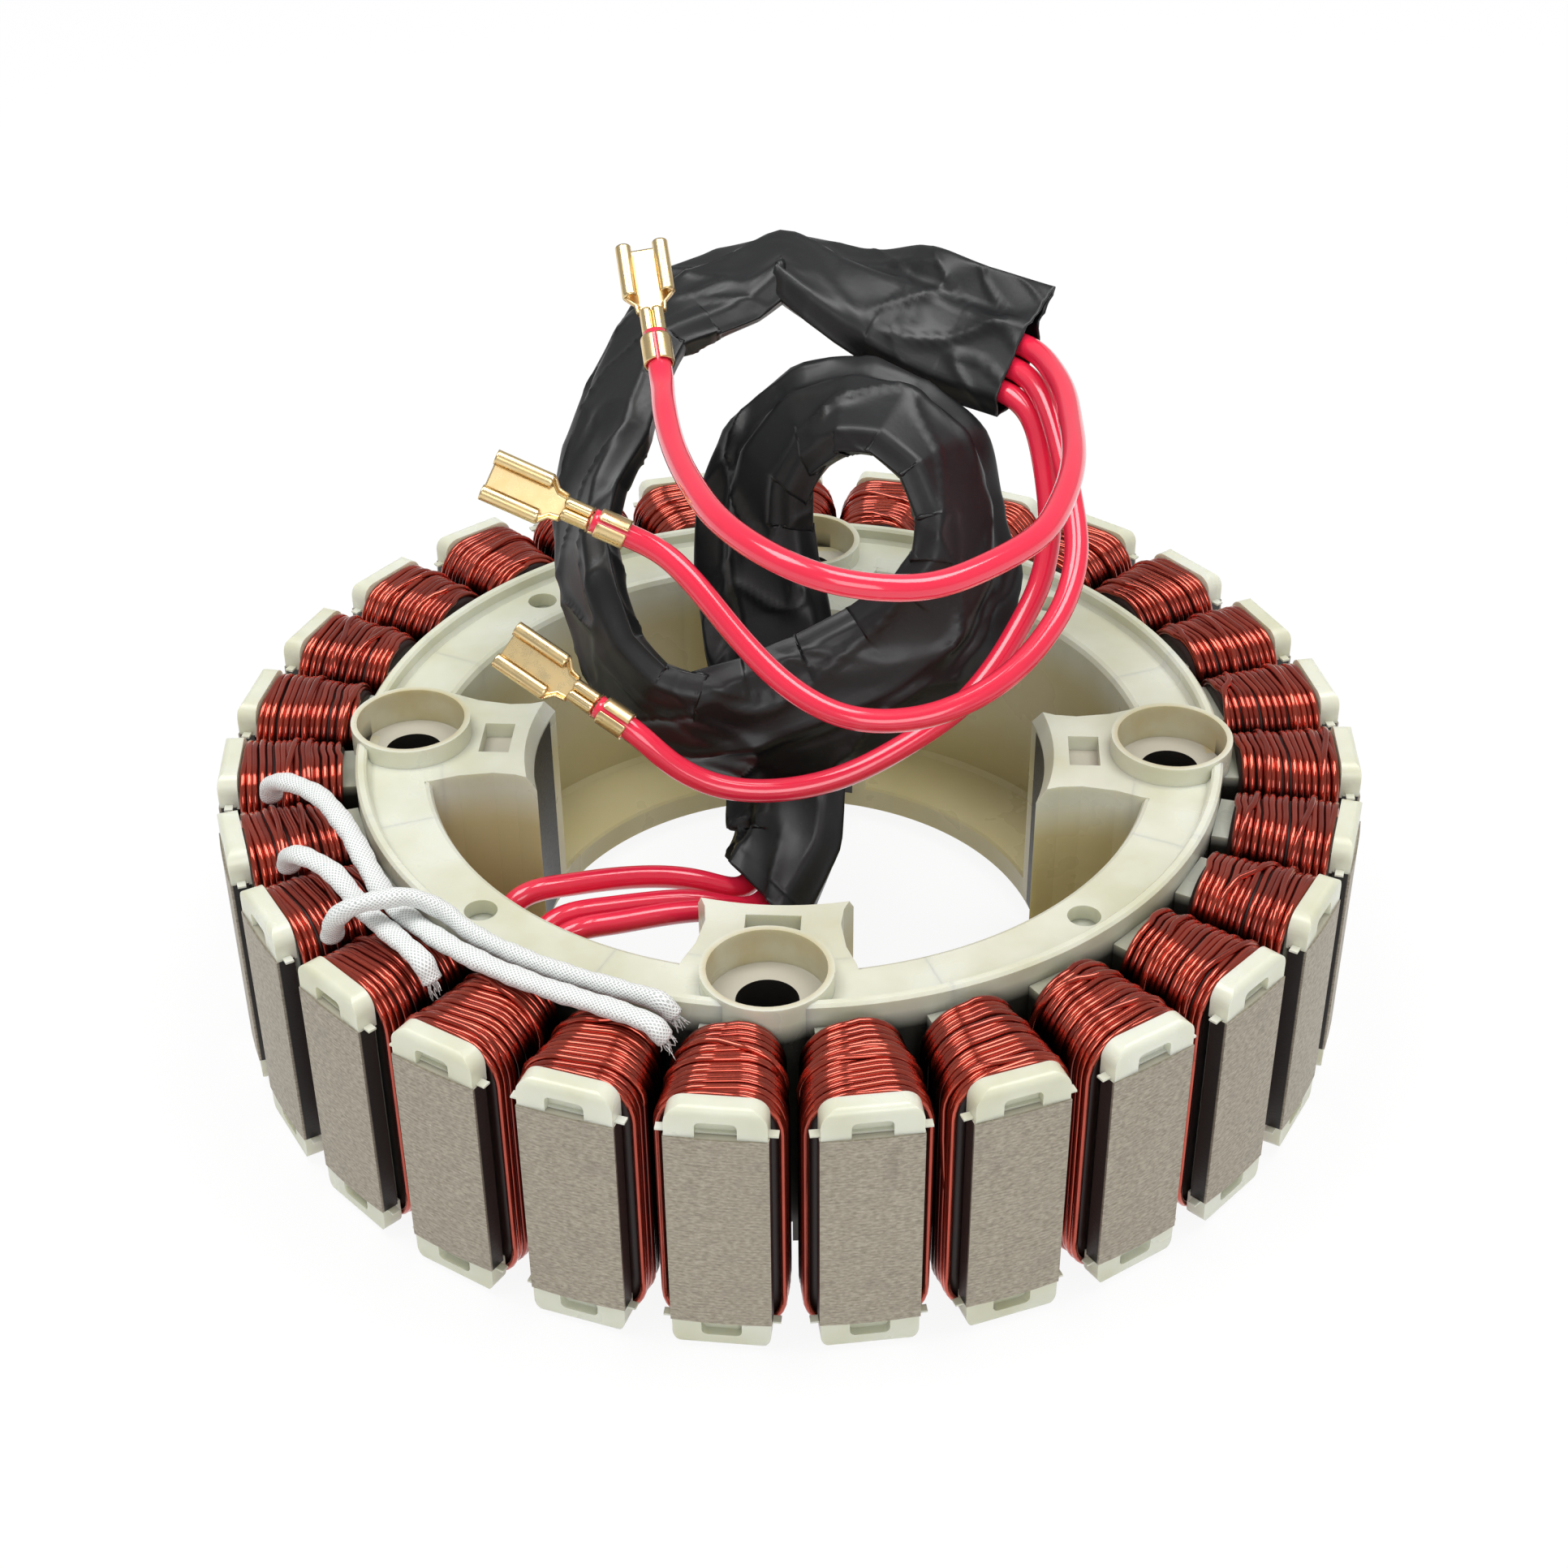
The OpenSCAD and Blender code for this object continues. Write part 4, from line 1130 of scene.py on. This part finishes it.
    def core(self) -> Patch:
        """Fills the lower layers: the loop set in under the wires, closed at both ends down to the
        liner's hole, as one ring of rows round the section.

        Returns:
            The surface, in the pole's own frame.
        """
        u = np.arange(self.core_columns) / self.core_columns
        x = np.array([self.inner + 0.6, self.inner + 0.6, (self.inner + self.outer) / 2, self.inner + self.taper,
                      self.outer - 0.7, self.outer - 0.7])
        y, z = self.loop(u[None] + 0 * x[:, None], x[:, None], self.core_in)
        scale = np.maximum(np.abs(y[0]) / self.hole_w, np.abs(z[0] - self.middle) / self.hole_h)
        y[[0, -1]] = y[0] / scale
        z[[0, -1]] = (z[0] - self.middle) / scale + self.middle
        return Patch.of(np.stack([x[:, None] + 0 * y, y, z], -1), loop=True)

    def build(self, enamel: bpy.types.Material, buried: bpy.types.Material) -> bpy.types.Object:
        """Turns the coil to its pole and seats it.

        Args:
            enamel: Finish of the wires.
            buried: Finish of the lower layers.

        Returns:
            The piece.
        """
        wires = self.wires()
        a = 2 * np.pi * (self.number - 1) / self.poles
        spin = np.array([[np.cos(a), np.sin(a), 0], [-np.sin(a), np.cos(a), 0], [0, 0, 1]])
        patches = [self.core()] + wires
        for patch in patches:
            patch.points = patch.points @ spin
        piece = add_piece(f"winding_{self.number:02d}", patches, [enamel, buried], [1] + [0] * len(wires))
        return seat(piece, Slot.COPPER, f"coil_{self.number:02d}")


# --- sleevings ----------------------------------------------------------------------------------

# depth behind the pole faces, angle about the axis in degrees and height over the coils of each sleeving
BRAID_ROUTES = [
    [[8, -166.67, -1.6], [8.5, -165.3, 1.8], [11, -162, 4.4], [14.5, -157, 5.2], [16, -150, 4.6],
     [15.8, -144, 3], [15.2, -138, 1.7], [15, -130, 1.7], [15, -122, 1.7], [15, -114, 1.7],
     [14.6, -107, 1.7], [13.8, -103.2, 1.7], [13.4, -101.2, 1.2], [13.4, -100, -0.6]],
    [[8, -153.33, -1.6], [8, -151.8, 1.6], [9, -148.6, 3.8], [11, -144.5, 3.6], [11.6, -139, 1.7],
     [11.4, -133.3, 1.7], [11, -129.8, 1.7], [10.8, -127.8, 1], [10.8, -126.67, -1.2]],
    [[7.2, -140, -1.6], [7, -138.4, 2.6], [8.6, -136.6, 5.4], [12, -135, 6], [15.2, -133.6, 5.6],
     [18, -131, 3.4], [18.6, -127, 1.8], [18.6, -121, 1.7], [18.6, -114, 1.7], [18.4, -107, 1.7],
     [18, -103.2, 1.7], [17.6, -101.2, 1.4], [17.6, -100, -0.2]]]


@dataclass
class Sleeving:
    """A braided sleeving that carries a coil's end over its neighbours."""

    number: int
    pole_r: float = 84.0
    coil_top: float = 42.0
    girth_r: float = 1.62
    flat: float = 0.78
    step: float = 0.45
    sides: int = 22
    per_span: int = 12
    fibres: int = 16

    def build(self, braid: bpy.types.Material) -> bpy.types.Object:
        """A slightly flattened tube along the route, with a fan of loose fibres at its far end.

        Args:
            braid: Its finish.

        Returns:
            The piece.
        """
        route = np.array(BRAID_ROUTES[self.number])
        a = np.radians(route[:, 1])
        r = self.pole_r - route[:, 0]
        points = np.stack([r * np.cos(a), r * np.sin(a), self.coil_top + route[:, 2]], -1)
        path = even_path(smooth_path(points, self.per_span), self.step)
        s = np.arange(len(path)) * self.step
        girth = self.girth_r * (1 + 0.05 * np.sin(s * 0.9 + self.number) + 0.03 * np.sin(s * 2.3))
        patches = [tube(path, girth, self.sides, flat=self.flat)]
        rng = np.random.default_rng(40 + self.number)
        end, way = path[-1], unit(path[-1] - path[-4])
        for _ in range(self.fibres):
            root = end + rng.normal(0, 0.5, 3)
            tip = root + way * (1.0 + 1.4 * rng.random()) + rng.normal(0, 0.45, 3)
            line = smooth_path(np.stack([root, (root + tip) / 2 + rng.normal(0, 0.15, 3), tip]), 3)
            patches.append(tube(line, np.linspace(0.12, 0.05, len(line)), 5))
        piece = add_piece(f"sleeving_braid_{self.number + 1}", patches, [braid])
        return seat(piece, Slot.BRAID, f"sleeving_{self.number + 1}")


# --- moulded core and assembly ------------------------------------------------------------------


@dataclass
class PinMarks:
    """Pits that the mould's core pins left in the plate, each with a film of nylon on its floor."""

    count: int = 4
    ring_r: float = 58.0
    first: float = 46.5
    radius: float = 2.25
    floor_z: float = 37.2
    sides: int = 32
    levels: tuple[float, ...] = (0.06, 0.11, 0.16)

    def build(self, material: bpy.types.Material) -> bpy.types.Object:
        """A low disc on each pit's floor: its circle carried a short way up.

        Args:
            material: Its finish.

        Returns:
            The piece.
        """
        turn = np.radians(self.first + 360 / self.count * np.arange(self.count))
        spots = self.ring_r * np.stack([np.cos(turn), np.sin(turn)], -1)
        z = self.floor_z + np.array(self.levels)[:, None]
        films = [tube(np.concatenate([spot[None] + 0 * z, z], 1), self.radius, self.sides) for spot in spots]
        return seat(add_piece("pin_mark_film", films, [material]), Slot.NYLON)


def dress_nodes(start: str, material: bpy.types.Material) -> None:
    """Gives the CAD nodes that stay in view their finish.

    Args:
        start: How the nodes' names start.
        material: Their finish.
    """
    for name in sorted(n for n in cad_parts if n.startswith(start)):
        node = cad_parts[name]
        if not node.material_slots:
            node.data.materials.append(material)
        for slot in node.material_slots:
            slot.material = material
        LOG.info("%s dressed in %s", name, material.name)


def main() -> None:
    """Builds the studio, the harness, the windings, the sleevings and the moulded core in order."""
    logging.basicConfig(level=logging.INFO, format="%(message)s")
    Studio().build()
    Harness().build()
    enamel, buried = EnamelledCopper().make(), BuriedTurns().make()
    for number in range(1, Winding.poles + 1):
        Winding(number).build(enamel, buried)
    braid = GlassBraid().make()
    for number in range(len(BRAID_ROUTES)):
        Sleeving(number).build(braid)
    dress_nodes("lamination_core", LaminatedSteel().make())
    nylon = MouldedNylon().make()
    for start in ("insulator", "lug_", "pole_"):
        dress_nodes(start, nylon)
    PinMarks().build(nylon)


if __name__ == "__main__":
    main()
